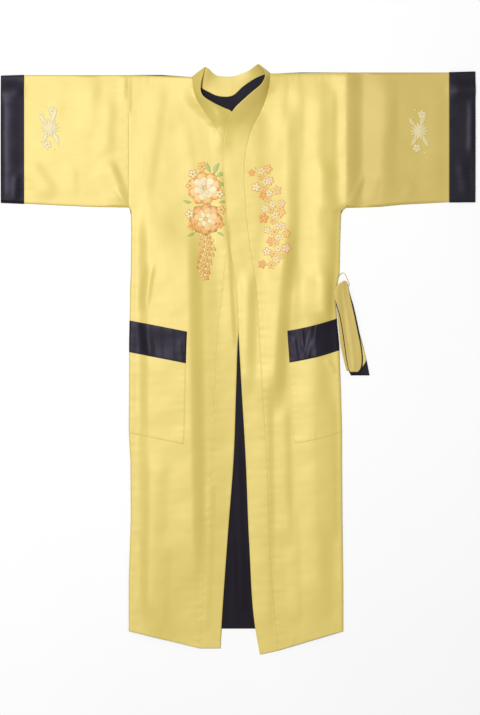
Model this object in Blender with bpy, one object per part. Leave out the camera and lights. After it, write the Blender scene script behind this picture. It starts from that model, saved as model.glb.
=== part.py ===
"""A reversible satin kimono robe, laid flat on its back and seen from above.

Metres. X runs from cuff to cuff, Y from hem to shoulder and Z up from the surface that the robe rests on. The
origin is the middle of the robe's box, on that surface. Right and left are the wearer's, so the right front is
at -X. It lies under the left front, which is at +X.
"""

from collections import namedtuple
from math import cos, hypot, pi, radians, sin

import bmesh
import bpy
import numpy as np

# Cloth, in layers from the surface up
WALL = 0.0011
GAP = 0.0003
LAYER = WALL + GAP
BAND_WALL = 2 * WALL + GAP
OVERLAP_AIR = 0.0010
BACK_Z = 0.0
BACK_LINING_Z = BACK_Z + LAYER
FRONT_LINING_Z = BACK_LINING_Z + LAYER
FRONT_Z = FRONT_LINING_Z + LAYER
OVERLAP_LIFT = 2 * LAYER + OVERLAP_AIR

# Colour and roughness of the gold satin, of the left sleeve's, which lies the other way, and of the dark satin
GOLD = ((0.86, 0.70, 0.29), 0.42)
GOLD_TURNED = ((0.62, 0.50, 0.20), 0.46)
DARK = ((0.035, 0.031, 0.055), 0.38)

# Body
RIGHT_SHOULDER_Y = 0.684
LEFT_SHOULDER_Y = 0.690
HEM_Y = -0.650
ARMHOLE_X = 0.262
RIGHT_FRONT_SAG = 0.041
LEFT_FRONT_SAG = 0.046
SAG_FULL_Y = 0.094
LEFT_HITCH = 0.008
HITCH_Y = 0.060
HITCH_REACH = 0.090

# Pockets, as heights at the side seam, and their width as a share of the front panel's
POCKET_TOP_Y = 0.096
POCKET_BAND_Y = 0.021
POCKET_BOTTOM_Y = -0.175
POCKET_SHARE = 0.64

# Sleeves and cuffs
RIGHT_CUFF_SEAM_X = 0.513
LEFT_CUFF_SEAM_X = 0.508
CUFF_END_X = 0.569
SLEEVE_HEIGHT = 0.0046
SLEEVE_PUFF = 0.0015
CUFF_WALL = 0.0016
CUFF_PROUD = 0.0006

# Grids: rows run from shoulder to hem, columns from the side seam to the neckband
FRONT_ROWS = (
    (RIGHT_SHOULDER_Y, 0.672, 0.662, 0.649, 0.634, 0.618, 0.601, 0.584, 0.565, 0.542)
    + tuple(np.linspace(0.505, 0.371, 4))
    + (0.352,)
    + tuple(np.linspace(0.295, 0.140, 4))
    + tuple(np.linspace(POCKET_TOP_Y, POCKET_BAND_Y, 3))
    + tuple(np.linspace(POCKET_BAND_Y, POCKET_BOTTOM_Y, 6)[1:])
    + tuple(np.linspace(POCKET_BOTTOM_Y, HEM_Y, 10)[1:])
)
POCKET_COLUMNS = 8
FRONT_COLUMNS = POCKET_COLUMNS + 4
BAND_COLUMNS = 4
SLEEVE_STATIONS = 12
SLEEVE_TOP_POINTS = 13

# Outline of the body's sides, as distance from the middle
Side = namedtuple("Side", "y right left")
SIDES = (
    Side(0.690, 0.262, 0.262),
    Side(0.371, 0.262, 0.262),
    Side(0.352, 0.257, 0.247),
    Side(0.300, 0.256, 0.245),
    Side(0.210, 0.257, 0.243),
    Side(0.165, 0.259, 0.235),
    Side(0.130, 0.259, 0.235),
    Side(0.090, 0.260, 0.237),
    Side(0.040, 0.261, 0.242),
    Side(-0.060, 0.261, 0.246),
    Side(-0.170, 0.262, 0.249),
    Side(-0.240, 0.258, 0.249),
    Side(-0.380, 0.257, 0.250),
    Side(-0.530, 0.262, 0.252),
    Side(-0.650, 0.262, 0.252),
)

# The neckband down each front: the seam that joins it to the front, its free rim, and how far the rim stands up
Band = namedtuple("Band", "seam_x seam_y rim_x rim_y rise")
RIGHT_BAND = (
    Band(-0.110, 0.679, -0.078, 0.702, 0.014),
    Band(-0.109, 0.668, -0.083, 0.686, 0.017),
    Band(-0.107, 0.650, -0.090, 0.662, 0.022),
    Band(-0.099, 0.625, -0.086, 0.638, 0.024),
    Band(-0.084, 0.600, -0.062, 0.621, 0.017),
    Band(-0.070, 0.579, -0.036, 0.609, 0.008),
    Band(-0.055, 0.557, -0.015, 0.598, 0.002),
    Band(-0.038, 0.533, 0.007, 0.568, 0.0),
    Band(-0.026, 0.499, 0.023, 0.514, 0.0),
    Band(-0.022, 0.456, 0.028, 0.461, 0.0),
    Band(-0.020, 0.384, 0.030, 0.384, 0.0),
    Band(-0.022, 0.322, 0.028, 0.322, 0.0),
    Band(-0.038, 0.168, 0.012, 0.168, 0.0),
    Band(-0.050, 0.048, 0.000, 0.048, 0.0),
    Band(-0.054, -0.058, -0.004, -0.058, 0.0),
    Band(-0.060, -0.228, -0.010, -0.228, 0.0),
    Band(-0.074, -0.415, -0.024, -0.415, 0.0),
    Band(-0.090, -0.646, -0.040, -0.646, 0.0),
    Band(-0.093, -0.700, -0.043, -0.700, 0.0),
)
LEFT_BAND = (
    Band(0.077, 0.687, 0.048, 0.709, 0.014),
    Band(0.077, 0.676, 0.061, 0.697, 0.017),
    Band(0.075, 0.660, 0.066, 0.681, 0.022),
    Band(0.071, 0.641, 0.055, 0.662, 0.024),
    Band(0.065, 0.620, 0.034, 0.645, 0.021),
    Band(0.056, 0.598, 0.010, 0.624, 0.015),
    Band(0.044, 0.574, -0.011, 0.602, 0.009),
    Band(0.033, 0.550, -0.024, 0.574, 0.005),
    Band(0.024, 0.521, -0.032, 0.541, 0.0025),
    Band(0.018, 0.485, -0.036, 0.503, 0.001),
    Band(0.016, 0.444, -0.036, 0.451, 0.0),
    Band(0.019, 0.384, -0.031, 0.386, 0.0),
    Band(0.024, 0.322, -0.026, 0.322, 0.0),
    Band(0.046, 0.168, -0.005, 0.168, 0.0),
    Band(0.053, 0.048, 0.002, 0.048, 0.0),
    Band(0.059, -0.058, 0.008, -0.058, 0.0),
    Band(0.070, -0.228, 0.018, -0.228, 0.0),
    Band(0.078, -0.440, 0.027, -0.442, 0.0),
    Band(0.091, -0.624, 0.040, -0.634, 0.0),
    Band(0.098, -0.700, 0.053, -0.710, 0.0),
)
# The same band round the back of the neck, from the middle of the back to each side of the neck
RIGHT_NECK = (
    Band(-0.014, 0.634, -0.014, 0.680, 0.006),
    Band(-0.046, 0.633, -0.046, 0.681, 0.007),
    Band(-0.072, 0.644, -0.060, 0.688, 0.009),
    Band(-0.093, 0.657, -0.072, 0.699, 0.012),
)
LEFT_NECK = (
    Band(-0.014, 0.634, -0.014, 0.680, 0.006),
    Band(0.012, 0.656, 0.007, 0.686, 0.007),
    Band(0.038, 0.674, 0.026, 0.694, 0.009),
    Band(0.060, 0.684, 0.040, 0.704, 0.012),
)

# The largest folds. Each is a soft ridge down from its upper end, which rises over one width and falls over another.
Fold = namedtuple("Fold", "x0 y0 x1 y1 rise fall height")
BODY_FOLDS = (
    Fold(-0.124, 0.290, -0.111, -0.500, 0.110, 0.040, 0.0066),
    Fold(-0.105, 0.260, -0.090, -0.600, 0.100, 0.080, 0.0036),
    Fold(-0.196, -0.240, -0.214, -0.600, 0.050, 0.040, 0.0020),
    Fold(0.112, 0.600, 0.112, 0.200, 0.056, 0.036, 0.0040),
    Fold(0.108, 0.290, 0.080, -0.080, 0.064, 0.034, 0.0062),
    Fold(0.068, -0.040, 0.070, -0.640, 0.050, 0.020, 0.0014),
    Fold(0.196, 0.650, 0.186, 0.100, 0.048, 0.054, 0.0052),
    Fold(0.180, 0.060, 0.190, -0.600, 0.060, 0.050, 0.0040),
)
SLEEVE_FOLDS = (
    Fold(-0.353, 0.672, -0.350, 0.545, 0.050, 0.032, 0.0018),
    Fold(-0.312, 0.624, -0.318, 0.500, 0.034, 0.028, 0.0016),
    Fold(-0.499, 0.473, -0.451, 0.400, 0.050, 0.032, 0.0018),
    Fold(-0.310, 0.470, -0.274, 0.380, 0.050, 0.022, 0.0028),
    Fold(0.264, 0.660, 0.264, 0.420, 0.030, 0.034, 0.0022),
    Fold(0.350, 0.660, 0.346, 0.400, 0.064, 0.040, 0.0024),
    Fold(0.476, 0.640, 0.474, 0.400, 0.050, 0.030, 0.0012),
)
NECK_LIFT = 0.0040
NECK_LIFT_REACH = 0.030

# Upper and lower edge of each sleeve, at a distance from the middle
SleeveEdge = namedtuple("SleeveEdge", "x top bottom")
RIGHT_SLEEVE = (
    SleeveEdge(0.262, 0.684, 0.367),
    SleeveEdge(0.355, 0.684, 0.370),
    SleeveEdge(0.500, 0.684, 0.377),
    SleeveEdge(0.569, 0.682, 0.380),
)
LEFT_SLEEVE = (
    SleeveEdge(0.262, 0.690, 0.366),
    SleeveEdge(0.341, 0.690, 0.370),
    SleeveEdge(0.389, 0.690, 0.375),
    SleeveEdge(0.500, 0.690, 0.381),
    SleeveEdge(0.569, 0.692, 0.381),
)

# The belt, folded and hung in its loop at the wearer's left side: both edges of each stretch, from top to bottom
Stretch = namedtuple("Stretch", "y left right")
BELT_REAR = (
    Stretch(0.160, 0.2450, 0.2668),
    Stretch(0.133, 0.2440, 0.2734),
    Stretch(0.102, 0.2450, 0.2830),
    Stretch(0.065, 0.2490, 0.2915),
    Stretch(0.034, 0.2550, 0.3000),
    Stretch(-0.010, 0.2630, 0.3100),
    Stretch(-0.032, 0.2690, 0.3140),
)
BELT_UNDER = (
    Stretch(0.172, 0.2440, 0.2640),
    Stretch(0.133, 0.2460, 0.2720),
    Stretch(0.102, 0.2530, 0.2815),
    Stretch(0.065, 0.2590, 0.2905),
    Stretch(0.034, 0.2620, 0.2992),
    Stretch(0.008, 0.2650, 0.3062),
    Stretch(-0.004, 0.2680, 0.3060),
    Stretch(-0.016, 0.2740, 0.2990),
)
BELT_INNER = (
    Stretch(0.174, 0.2380, 0.2600),
    Stretch(0.150, 0.2350, 0.2620),
    Stretch(0.130, 0.2362, 0.2630),
    Stretch(0.102, 0.2368, 0.2640),
    Stretch(0.065, 0.2405, 0.2680),
    Stretch(0.034, 0.2440, 0.2720),
    Stretch(0.003, 0.2512, 0.2780),
    Stretch(-0.025, 0.2590, 0.2840),
)
BELT_FRONT = (
    Stretch(0.1900, 0.2535, 0.2585),
    Stretch(0.1850, 0.2455, 0.2612),
    Stretch(0.1785, 0.2370, 0.2634),
    Stretch(0.1710, 0.2318, 0.2650),
    Stretch(0.1600, 0.2290, 0.2670),
    Stretch(0.1330, 0.2368, 0.2728),
    Stretch(0.1020, 0.2460, 0.2798),
    Stretch(0.0650, 0.2525, 0.2874),
    Stretch(0.0340, 0.2568, 0.2935),
    Stretch(0.0030, 0.2612, 0.2980),
    Stretch(-0.0220, 0.2662, 0.2930),
    Stretch(-0.0310, 0.2700, 0.2800),
)
BELT_REAR_HEIGHT = 0.0026
BELT_WALL = 0.0011
BELT_NOTCH = 0.0006
BELT_LAYER = BELT_WALL + GAP
BELT_COLUMNS = 7
BELT_RAMP = 0.024

# The thread loop on the side seam that the belt hangs in
LOOP_PATH = (
    (0.2425, 0.2020, 0.0024),
    (0.2470, 0.2070, 0.0030),
    (0.2525, 0.2090, 0.0032),
    (0.2570, 0.2050, 0.0032),
    (0.2610, 0.1970, 0.0032),
    (0.2655, 0.1850, 0.0032),
    (0.2660, 0.1795, 0.0032),
    (0.2620, 0.1770, 0.0032),
    (0.2540, 0.1775, 0.0030),
    (0.2460, 0.1790, 0.0026),
    (0.2390, 0.1800, 0.0024),
)
LOOP_RADIUS = 0.0008


def clear_scene():
    for thing in list(bpy.data.objects):
        bpy.data.objects.remove(thing)


def satin(name, finish):
    """A piece's own plain satin."""
    colour, roughness = finish
    made = bpy.data.materials.new(name)
    made.use_nodes = True
    shader = made.node_tree.nodes["Principled BSDF"]
    shader.inputs["Base Color"].default_value = (*colour, 1)
    shader.inputs["Roughness"].default_value = roughness
    shader.inputs["Metallic"].default_value = 0
    made.diffuse_color = (*colour, 1)
    return made


def curve(at, keys, values):
    """A smooth curve through a table's points, read at one or many places."""
    keys, values = np.asarray(keys, float), np.asarray(values, float)
    if keys[0] > keys[-1]:
        keys, values = keys[::-1], values[::-1]
    slopes = np.gradient(values, keys)
    i = np.clip(np.searchsorted(keys, at) - 1, 0, len(keys) - 2)
    span = keys[i + 1] - keys[i]
    t = np.clip((at - keys[i]) / span, 0, 1)
    rise = values[i + 1] - values[i]
    ease = t * t * (3 - 2 * t)
    ends = t * (1 - t) * span * ((1 - t) * slopes[i] - t * slopes[i + 1])
    return values[i] + rise * ease + ends


def column(table, name):
    return [getattr(row, name) for row in table]


def smooth_step(low, high, value):
    t = np.clip((value - low) / (high - low), 0, 1)
    return t * t * (3 - 2 * t)


def side_x(y, side):
    """Where the side seam and the armhole seam run; side is -1 for the wearer's right and 1 for the left."""
    keys = column(SIDES, "y")
    reach = np.interp(y, keys[::-1], column(SIDES, "right" if side < 0 else "left")[::-1])
    return side * reach


def fold_height(x, y, folds):
    """Height of the soft ridges at a point: round across, steeper towards +X, and fading out over each end."""
    total = np.zeros(np.broadcast(x, y).shape)
    for fold in folds:
        run_x, run_y = fold.x1 - fold.x0, fold.y1 - fold.y0
        length = hypot(run_x, run_y)
        along = ((x - fold.x0) * run_x + (y - fold.y0) * run_y) / length
        across = ((y - fold.y0) * run_x - (x - fold.x0) * run_y) / length
        share = np.clip(np.where(across < 0, -across / fold.rise, across / fold.fall), 0, 1)
        fade = min(1.1 * (fold.rise + fold.fall), 0.45 * length)
        ends = smooth_step(-fade / 2, fade / 2, along) * smooth_step(-fade / 2, fade / 2, length - along)
        total += fold.height * (0.5 + 0.5 * np.cos(pi * share)) * ends
    return total


def neck_lift(x, y):
    """The collar holds the cloth up at both sides of the neck."""
    lift = 0
    for band in (RIGHT_BAND[0], LEFT_BAND[0]):
        far = (x - band.seam_x) ** 2 + (y - band.seam_y) ** 2
        lift = lift + NECK_LIFT * np.exp(-far / (2 * NECK_LIFT_REACH**2))
    return lift


def overlap_lift(x, y):
    """How far the left front is raised where it passes over the right front and its band."""
    under = curve(y, column(RIGHT_BAND, "rim_y"), column(RIGHT_BAND, "rim_x"))
    over = 1 - smooth_step(under + 0.012, under + 0.085, x)
    above_split = smooth_step(-0.160, 0.020, y)
    return OVERLAP_LIFT * over * above_split


def drape(x, y, side):
    """Height that folds, collar and overlap add to a front of that side."""
    height = fold_height(x, y, BODY_FOLDS) + neck_lift(x, y)
    seam = smooth_step(0, 0.020, abs(side_x(y, side)) - abs(x))
    height = height * (0.25 + 0.75 * seam)
    if side > 0:
        height = height + overlap_lift(x, y)
    return height


def mesh_object(name, points, faces, finish):
    made = bpy.data.meshes.new(name)
    made.from_pydata([tuple(p) for p in points], [], faces)
    work = bmesh.new()
    work.from_mesh(made)
    bmesh.ops.recalc_face_normals(work, faces=work.faces)
    work.to_mesh(made)
    work.free()
    made.materials.append(satin(f"{name}_satin", finish))
    made.shade_smooth()
    made.set_sharp_from_angle(angle=radians(40))
    thing = bpy.data.objects.new(name, made)
    bpy.context.scene.collection.objects.link(thing)
    return thing


def strip_faces(first, second):
    """Triangles between two rows of point numbers, all split the same way, so that stacked sheets stay apart."""
    faces = []
    for k in range(len(first) - 1):
        faces += [(first[k], first[k + 1], second[k + 1]), (first[k], second[k + 1], second[k])]
    return faces


def wall(name, upper, lower, finish):
    """A closed sheet of cloth between two grids of points with the same rows and columns."""
    rows, columns = upper.shape[:2]
    number = np.arange(rows * columns).reshape(rows, columns)
    under = number + rows * columns
    faces = []
    for r in range(rows - 1):
        faces += strip_faces(number[r].tolist(), number[r + 1].tolist())
        faces += strip_faces(under[r].tolist(), under[r + 1].tolist())
    for edge in (np.s_[0, :], np.s_[-1, :], np.s_[:, 0], np.s_[:, -1]):
        faces += strip_faces(number[edge].tolist(), under[edge].tolist())
    points = np.concatenate([upper.reshape(-1, 3), lower.reshape(-1, 3)])
    return mesh_object(name, points, faces, finish)


def tube(name, outer, inner, finish):
    """A closed wall between two tubes of rings, open at both ends."""
    stations, around = outer.shape[:2]
    number = np.arange(stations * around).reshape(stations, around)
    number = np.concatenate([number, number[:, :1]], axis=1)
    within = number + stations * around
    faces = []
    for s in range(stations - 1):
        faces += strip_faces(number[s].tolist(), number[s + 1].tolist())
        faces += strip_faces(within[s + 1].tolist(), within[s].tolist())
    for end in (0, -1):
        faces += strip_faces(number[end].tolist(), within[end].tolist())
    points = np.concatenate([outer.reshape(-1, 3), inner.reshape(-1, 3)])
    return mesh_object(name, points, faces, finish)


def bar(name, rings, finish):
    """A solid swept through closed sections, with flat ends."""
    stations, around = rings.shape[:2]
    number = np.arange(stations * around).reshape(stations, around)
    looped = np.concatenate([number, number[:, :1]], axis=1)
    faces = [tuple(number[0].tolist()), tuple(number[-1][::-1].tolist())]
    for s in range(stations - 1):
        faces += strip_faces(looped[s].tolist(), looped[s + 1].tolist())
    return mesh_object(name, rings.reshape(-1, 3), faces, finish)


def shoulder_y(side):
    return RIGHT_SHOULDER_Y if side < 0 else LEFT_SHOULDER_Y


def back_outline():
    """Upper edge of the back from right armhole to left armhole: shoulder, neckline, shoulder."""
    half = {}
    for side in (-1, 1):
        stations = neck_stations(side)[1:]
        neckline = [(b.seam_x + side * GAP, b.seam_y - GAP) for b in stations]
        shoulder = [(neckline[-1][0] + side * 0.075, shoulder_y(side)), (side * ARMHOLE_X, shoulder_y(side))]
        half[side] = neckline + shoulder
    middle = [(neck_stations(1)[0].seam_x, neck_stations(1)[0].seam_y - GAP)]
    return half[-1][::-1] + middle + half[1]


def back_panel(name, floor, finish):
    """The back, cut straight at the hem and scooped at the neck."""
    upper_edge = back_outline()
    heights = column(SIDES, "y")
    grid = np.zeros((len(heights), len(upper_edge), 3))
    for r, y_side in enumerate(heights):
        down = (heights[0] - y_side) / (heights[0] - HEM_Y)
        right, left = side_x(y_side, -1), side_x(y_side, 1)
        for c, (x_top, y_top) in enumerate(upper_edge):
            share = (x_top + ARMHOLE_X) / (2 * ARMHOLE_X)
            x = right + (left - right) * share
            grid[r, c] = (x, y_top + (HEM_Y - y_top) * down, floor)
    raised = grid + (0, 0, WALL)
    return wall(name, raised, grid, finish)


def front_shares():
    pocket = np.linspace(0, POCKET_SHARE, POCKET_COLUMNS + 1)
    rest = np.linspace(POCKET_SHARE, 1, FRONT_COLUMNS - POCKET_COLUMNS + 1)
    return np.concatenate([pocket, rest[1:]])


def sag(y_side, side):
    """How far the front has dropped at the neckband seam, below the same line at the side seam."""
    top = shoulder_y(side)
    up = np.clip((y_side - SAG_FULL_Y) / (top - SAG_FULL_Y), 0, 1)
    return (RIGHT_FRONT_SAG if side < 0 else LEFT_FRONT_SAG) * (1 - up**1.6)


def hitch(y_side, side):
    """The left front is pulled up a little at the side seam, beside the belt."""
    away = (y_side - HITCH_Y) / HITCH_REACH
    return LEFT_HITCH * np.exp(-away * away) if side > 0 else 0.0


def front_plan(side):
    """Plan points of one front panel: rows from shoulder to hem, columns from side seam to neckband."""
    band = RIGHT_BAND if side < 0 else LEFT_BAND
    shares = front_shares()
    plan = np.zeros((len(FRONT_ROWS), len(shares), 2))
    for r, y_row in enumerate(FRONT_ROWS):
        y_side = shoulder_y(side) if r == 0 else y_row + hitch(y_row, side)
        y_seam = band[0].seam_y if r == 0 else y_row - sag(y_row, side)
        x_seam = curve(y_seam, column(band, "seam_y"), column(band, "seam_x")) + side * GAP
        y = y_side + (y_seam - y_side) * shares
        x_side = side_x(y_side, side)
        plan[r, :, 0] = x_side + (x_seam - x_side) * shares
        plan[r, :, 1] = y
    return plan


def over_plan(plan, floor, side):
    """Points of a sheet's lower face, on the fronts' form."""
    height = floor + drape(plan[..., 0], plan[..., 1], side)
    return np.concatenate([plan, height[..., None]], axis=2)


def front_panel(name, side, floor, finish):
    lower = over_plan(front_plan(side), floor, side)
    return wall(name, lower + (0, 0, WALL), lower, finish)


def pocket_piece(name, side, first_y, last_y, finish):
    """Part of a patch pocket, made from the front's own points and moved out."""
    rows = [r for r, y in enumerate(FRONT_ROWS) if last_y - 1e-6 <= y <= first_y + 1e-6]
    plan = front_plan(side)[rows[0] : rows[-1] + 1, : POCKET_COLUMNS + 1].copy()
    if last_y == POCKET_BAND_Y:
        plan[-1, :, 1] += GAP
    lower = over_plan(plan, FRONT_Z + LAYER, side)
    return wall(name, lower + (0, 0, WALL), lower, finish)


def neck_stations(side):
    """The band's seam and rim round one half of the back of the neck, from mid back to the shoulder line."""
    path = (RIGHT_NECK if side < 0 else LEFT_NECK) + (RIGHT_BAND if side < 0 else LEFT_BAND)[:1]
    steps = np.linspace(0, len(path) - 1, 2 * len(path) - 1)
    return [Band(*(float(curve(s, range(len(path)), column(path, f))) for f in Band._fields)) for s in steps]


def band_lines(side):
    """Seam line, rim line and which way the band's upper face looks, station by station from mid back to hem."""
    band = RIGHT_BAND if side < 0 else LEFT_BAND
    back = neck_stations(side)
    front = []
    for y_side in FRONT_ROWS[1:]:
        y_seam = y_side - sag(y_side, side)
        keys = column(band, "seam_y")
        front.append(Band(*(float(curve(y_seam, keys, column(band, f))) for f in Band._fields)))
    turned = [0.0] * (len(back) - 1) + [0.5] + [1.0] * len(front)
    return back + front, turned


def neckband(name, side, finish):
    """The band round the neck and down one front, a ruled strip with its seam on the cloth and its rim free."""
    stations, turned = band_lines(side)
    middle = np.zeros((len(stations), BAND_COLUMNS + 1, 3))
    for i, (station, front) in enumerate(zip(stations, turned)):
        for j in range(BAND_COLUMNS + 1):
            share = j / BAND_COLUMNS
            x = station.seam_x + (station.rim_x - station.seam_x) * share
            y = station.seam_y + (station.rim_y - station.seam_y) * share
            on_back = BACK_Z + BAND_WALL / 2
            on_front = FRONT_LINING_Z + BAND_WALL / 2 + float(drape(x, y, side))
            rise = station.rise * sin(pi / 2 * share)
            middle[i, j] = (x, y, on_back + (on_front - on_back) * front + rise)
    middle[0, :, 0] += side * GAP
    upright = turned.index(0.5)
    for i in range(upright, len(stations)):
        steep = min(stations[i].rise / RIGHT_BAND[0].rise, 1)
        middle[i, :, 0] -= side * steep * np.linspace(BAND_WALL / 2 + GAP, 0, BAND_COLUMNS + 1)
    along = np.gradient(middle, axis=0)
    across = np.gradient(middle, axis=1)
    normal = np.cross(along, across) * side
    normal /= np.linalg.norm(normal, axis=2, keepdims=True)
    for i, front in enumerate(turned):
        normal[i, 0] = (-side, 0, 0) if i == upright else (0, 0, 1 - 2 * front)
    offset = normal * BAND_WALL / 2
    return wall(name, middle + offset, middle - offset, finish)


def sleeve_ring(x_out, side, height, wall_thickness, proud):
    """Outer and inner section of a flattened sleeve at a distance from the middle."""
    table = RIGHT_SLEEVE if side < 0 else LEFT_SLEEVE
    top = float(curve(x_out, column(table, "x"), column(table, "top"))) + proud
    bottom = float(curve(x_out, column(table, "x"), column(table, "bottom"))) - proud
    edge = height / 2
    outer, inner = [], []
    for share in np.linspace(0, 1, SLEEVE_TOP_POINTS):
        y = bottom + edge + (top - bottom - 2 * edge) * share
        puff = SLEEVE_PUFF * sin(pi * share) + float(fold_height(side * x_out, y, SLEEVE_FOLDS))
        outer.append((side * x_out, y, height + puff))
        inner.append((side * x_out, y, height + puff - wall_thickness))
    for middle_y, first in ((top - edge, 90), (bottom + edge, -90)):
        turns = (first - 45, first - 90, first - 135)
        for angle in turns:
            a = radians(angle)
            outer.append((side * x_out, middle_y + edge * cos(a), edge + edge * sin(a)))
            reach = edge - wall_thickness
            inner.append((side * x_out, middle_y + reach * cos(a), edge + reach * sin(a)))
        if first == 90:
            for share in (1, 0.5, 0):
                y = bottom + edge + (top - bottom - 2 * edge) * share
                outer.append((side * x_out, y, 0))
                inner.append((side * x_out, y, wall_thickness))
    return outer, inner


def sleeve_piece(name, side, first_x, last_x, stations, wall_thickness, proud, finish):
    rings = [
        sleeve_ring(x, side, SLEEVE_HEIGHT + proud, wall_thickness, proud)
        for x in np.linspace(first_x, last_x, stations)
    ]
    outer = np.array([ring[0] for ring in rings])
    inner = np.array([ring[1] for ring in rings])
    return tube(name, outer, inner, finish)


def belt_plan(table, columns):
    """Plan points of a stretch of the belt: rows from top to bottom, columns from its left to its right edge."""
    steps = np.linspace(0, len(table) - 1, 2 * len(table) - 1)
    y, left, right = (curve(steps, range(len(table)), column(table, f)) for f in Stretch._fields)
    share = np.linspace(0, 1, columns + 1)
    x = left[:, None] + (right - left)[:, None] * share
    return np.stack([x, np.broadcast_to(y[:, None], x.shape)], axis=2)


def belt_rear(name, finish):
    """The folded layers at the bottom of the belt's bundle, one rounded solid with a notch between layers."""
    plan = belt_plan(BELT_REAR, 1)
    h, n = BELT_REAR_HEIGHT, BELT_NOTCH
    profile = [(0, n, 0), (1, -n, 0), (1, 0, 0.25 * h), (1, -n, 0.5 * h), (1, 0, 0.75 * h), (1, -n, h)]
    profile += [(0, n, h), (0, 0, 0.75 * h), (0, n, 0.5 * h), (0, 0, 0.25 * h)]
    rings = [[(row[edge, 0] + inset, row[edge, 1], z) for edge, inset, z in profile] for row in plan]
    return bar(name, np.array(rings), finish)


def belt_sheet(name, table, floor, finish):
    """One stretch of the belt, on the layers below it and, further in, on the left front."""
    plan = belt_plan(table, BELT_COLUMNS)
    x, y = plan[..., 0], plan[..., 1]
    edge = side_x(y, 1)
    step_up = FRONT_Z + WALL + drape(np.minimum(x, edge), y, 1) - BELT_REAR_HEIGHT
    height = floor + step_up * (1 - smooth_step(0.001, BELT_RAMP, x - edge))
    lower = np.concatenate([plan, height[..., None]], axis=2)
    return wall(name, lower + (0, 0, BELT_WALL), lower, finish)


def thread_loop(name, path, radius, finish):
    """A round thread along a path that stays level enough for upright sections."""
    steps = np.linspace(0, len(path) - 1, 2 * len(path) - 1)
    points = np.stack([curve(steps, range(len(path)), [p[axis] for p in path]) for axis in range(3)], axis=1)
    run = np.gradient(points, axis=0)[:, :2]
    run /= np.linalg.norm(run, axis=1, keepdims=True)
    rings = []
    for point, (run_x, run_y) in zip(points, run):
        ring = []
        for k in range(6):
            out, up = radius * cos(pi * k / 3), radius * sin(pi * k / 3)
            ring.append((point[0] - run_y * out, point[1] + run_x * out, point[2] + up))
        rings.append(ring)
    return bar(name, np.array(rings), finish)


def main():
    clear_scene()
    back_panel("back", BACK_Z, GOLD)
    back_panel("back_lining", BACK_LINING_Z, DARK)
    for side, name in ((-1, "right"), (1, "left")):
        front_panel(f"front_{name}_lining", side, FRONT_LINING_Z, DARK)
        front_panel(f"front_{name}", side, FRONT_Z, GOLD)
        pocket_piece(f"pocket_band_{name}", side, POCKET_TOP_Y, POCKET_BAND_Y, DARK)
        pocket_piece(f"pocket_{name}", side, POCKET_BAND_Y, POCKET_BOTTOM_Y, GOLD)
        neckband(f"neckband_{name}", side, GOLD)
        cloth = GOLD if side < 0 else GOLD_TURNED
        start = ARMHOLE_X + GAP
        seam = RIGHT_CUFF_SEAM_X if side < 0 else LEFT_CUFF_SEAM_X
        sleeve_piece(f"sleeve_{name}", side, start, seam - GAP, SLEEVE_STATIONS, WALL, 0, cloth)
        sleeve_piece(f"cuff_{name}", side, seam, CUFF_END_X, 4, CUFF_WALL, CUFF_PROUD, DARK)
    stack = BELT_REAR_HEIGHT + GAP
    belt_rear("belt_rear", DARK)
    belt_sheet("belt_under", BELT_UNDER, stack, GOLD)
    belt_sheet("belt_inner", BELT_INNER, stack + BELT_LAYER, GOLD)
    belt_sheet("belt_front", BELT_FRONT, stack + 2 * BELT_LAYER, GOLD)
    thread_loop("belt_loop", LOOP_PATH, LOOP_RADIUS, GOLD)


main()
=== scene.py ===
"""The visual model of a reversible satin kimono robe, laid flat on its back and seen from straight above."""

from collections import namedtuple
from math import cos, hypot, pi, sin

import bpy
import numpy as np
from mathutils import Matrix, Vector


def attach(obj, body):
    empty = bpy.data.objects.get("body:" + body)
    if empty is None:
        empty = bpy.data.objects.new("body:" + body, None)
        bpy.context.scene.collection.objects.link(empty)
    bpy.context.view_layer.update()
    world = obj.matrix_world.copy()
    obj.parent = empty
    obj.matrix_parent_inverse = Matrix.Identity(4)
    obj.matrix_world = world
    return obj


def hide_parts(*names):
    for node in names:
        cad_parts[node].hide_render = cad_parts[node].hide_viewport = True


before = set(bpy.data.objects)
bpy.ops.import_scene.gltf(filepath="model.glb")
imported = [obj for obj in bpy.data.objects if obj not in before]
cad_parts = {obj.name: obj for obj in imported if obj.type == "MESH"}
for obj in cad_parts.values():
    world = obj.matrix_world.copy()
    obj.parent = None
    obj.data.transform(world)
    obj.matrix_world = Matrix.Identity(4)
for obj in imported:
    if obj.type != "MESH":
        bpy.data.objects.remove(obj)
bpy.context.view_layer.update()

# Layers of the solid model, from the surface up
WALL = 0.0011
GAP = 0.0003
LAYER = WALL + GAP
BAND_WALL = 2 * WALL + GAP
OVERLAP_AIR = 0.0010
BACK_Z = WALL / 2
BACK_LINING_Z = BACK_Z + LAYER
FRONT_LINING_Z = BACK_LINING_Z + LAYER
FRONT_Z = FRONT_LINING_Z + LAYER
BAND_BACK_Z = BAND_WALL / 2
BAND_FRONT_Z = 2 * LAYER + BAND_WALL / 2
OVERLAP_LIFT = 2 * LAYER + OVERLAP_AIR

# Cloth as it is seen
CLOTH = 0.00042
BAND_CLOTH = 0.0017
CUFF_CLOTH = 0.0013
POCKET_RISE = 0.0004
TUCK = 0.0006
NECK_TUCK = 0.0002
HEM_DEPTH = 0.018
POCKET_BAND_RISE = 0.0013
POCKET_BAND_CLOTH = 0.0010
BACK_FLOOR = 0.0006
BACK_LINING_DROP = 0.0004
BACK_LINING_INSET = 0.0004

# Heights of the middle of each layer where it is drawn in, at its seams and at its hem
FRONT_EDGES = (0.0027, 0.0043)
FRONT_LINING_EDGES = (0.0022, 0.0038)
BACK_EDGES = (0.0013, 0.0011)
BACK_LINING_EDGES = (0.0018, 0.0016)

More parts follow.
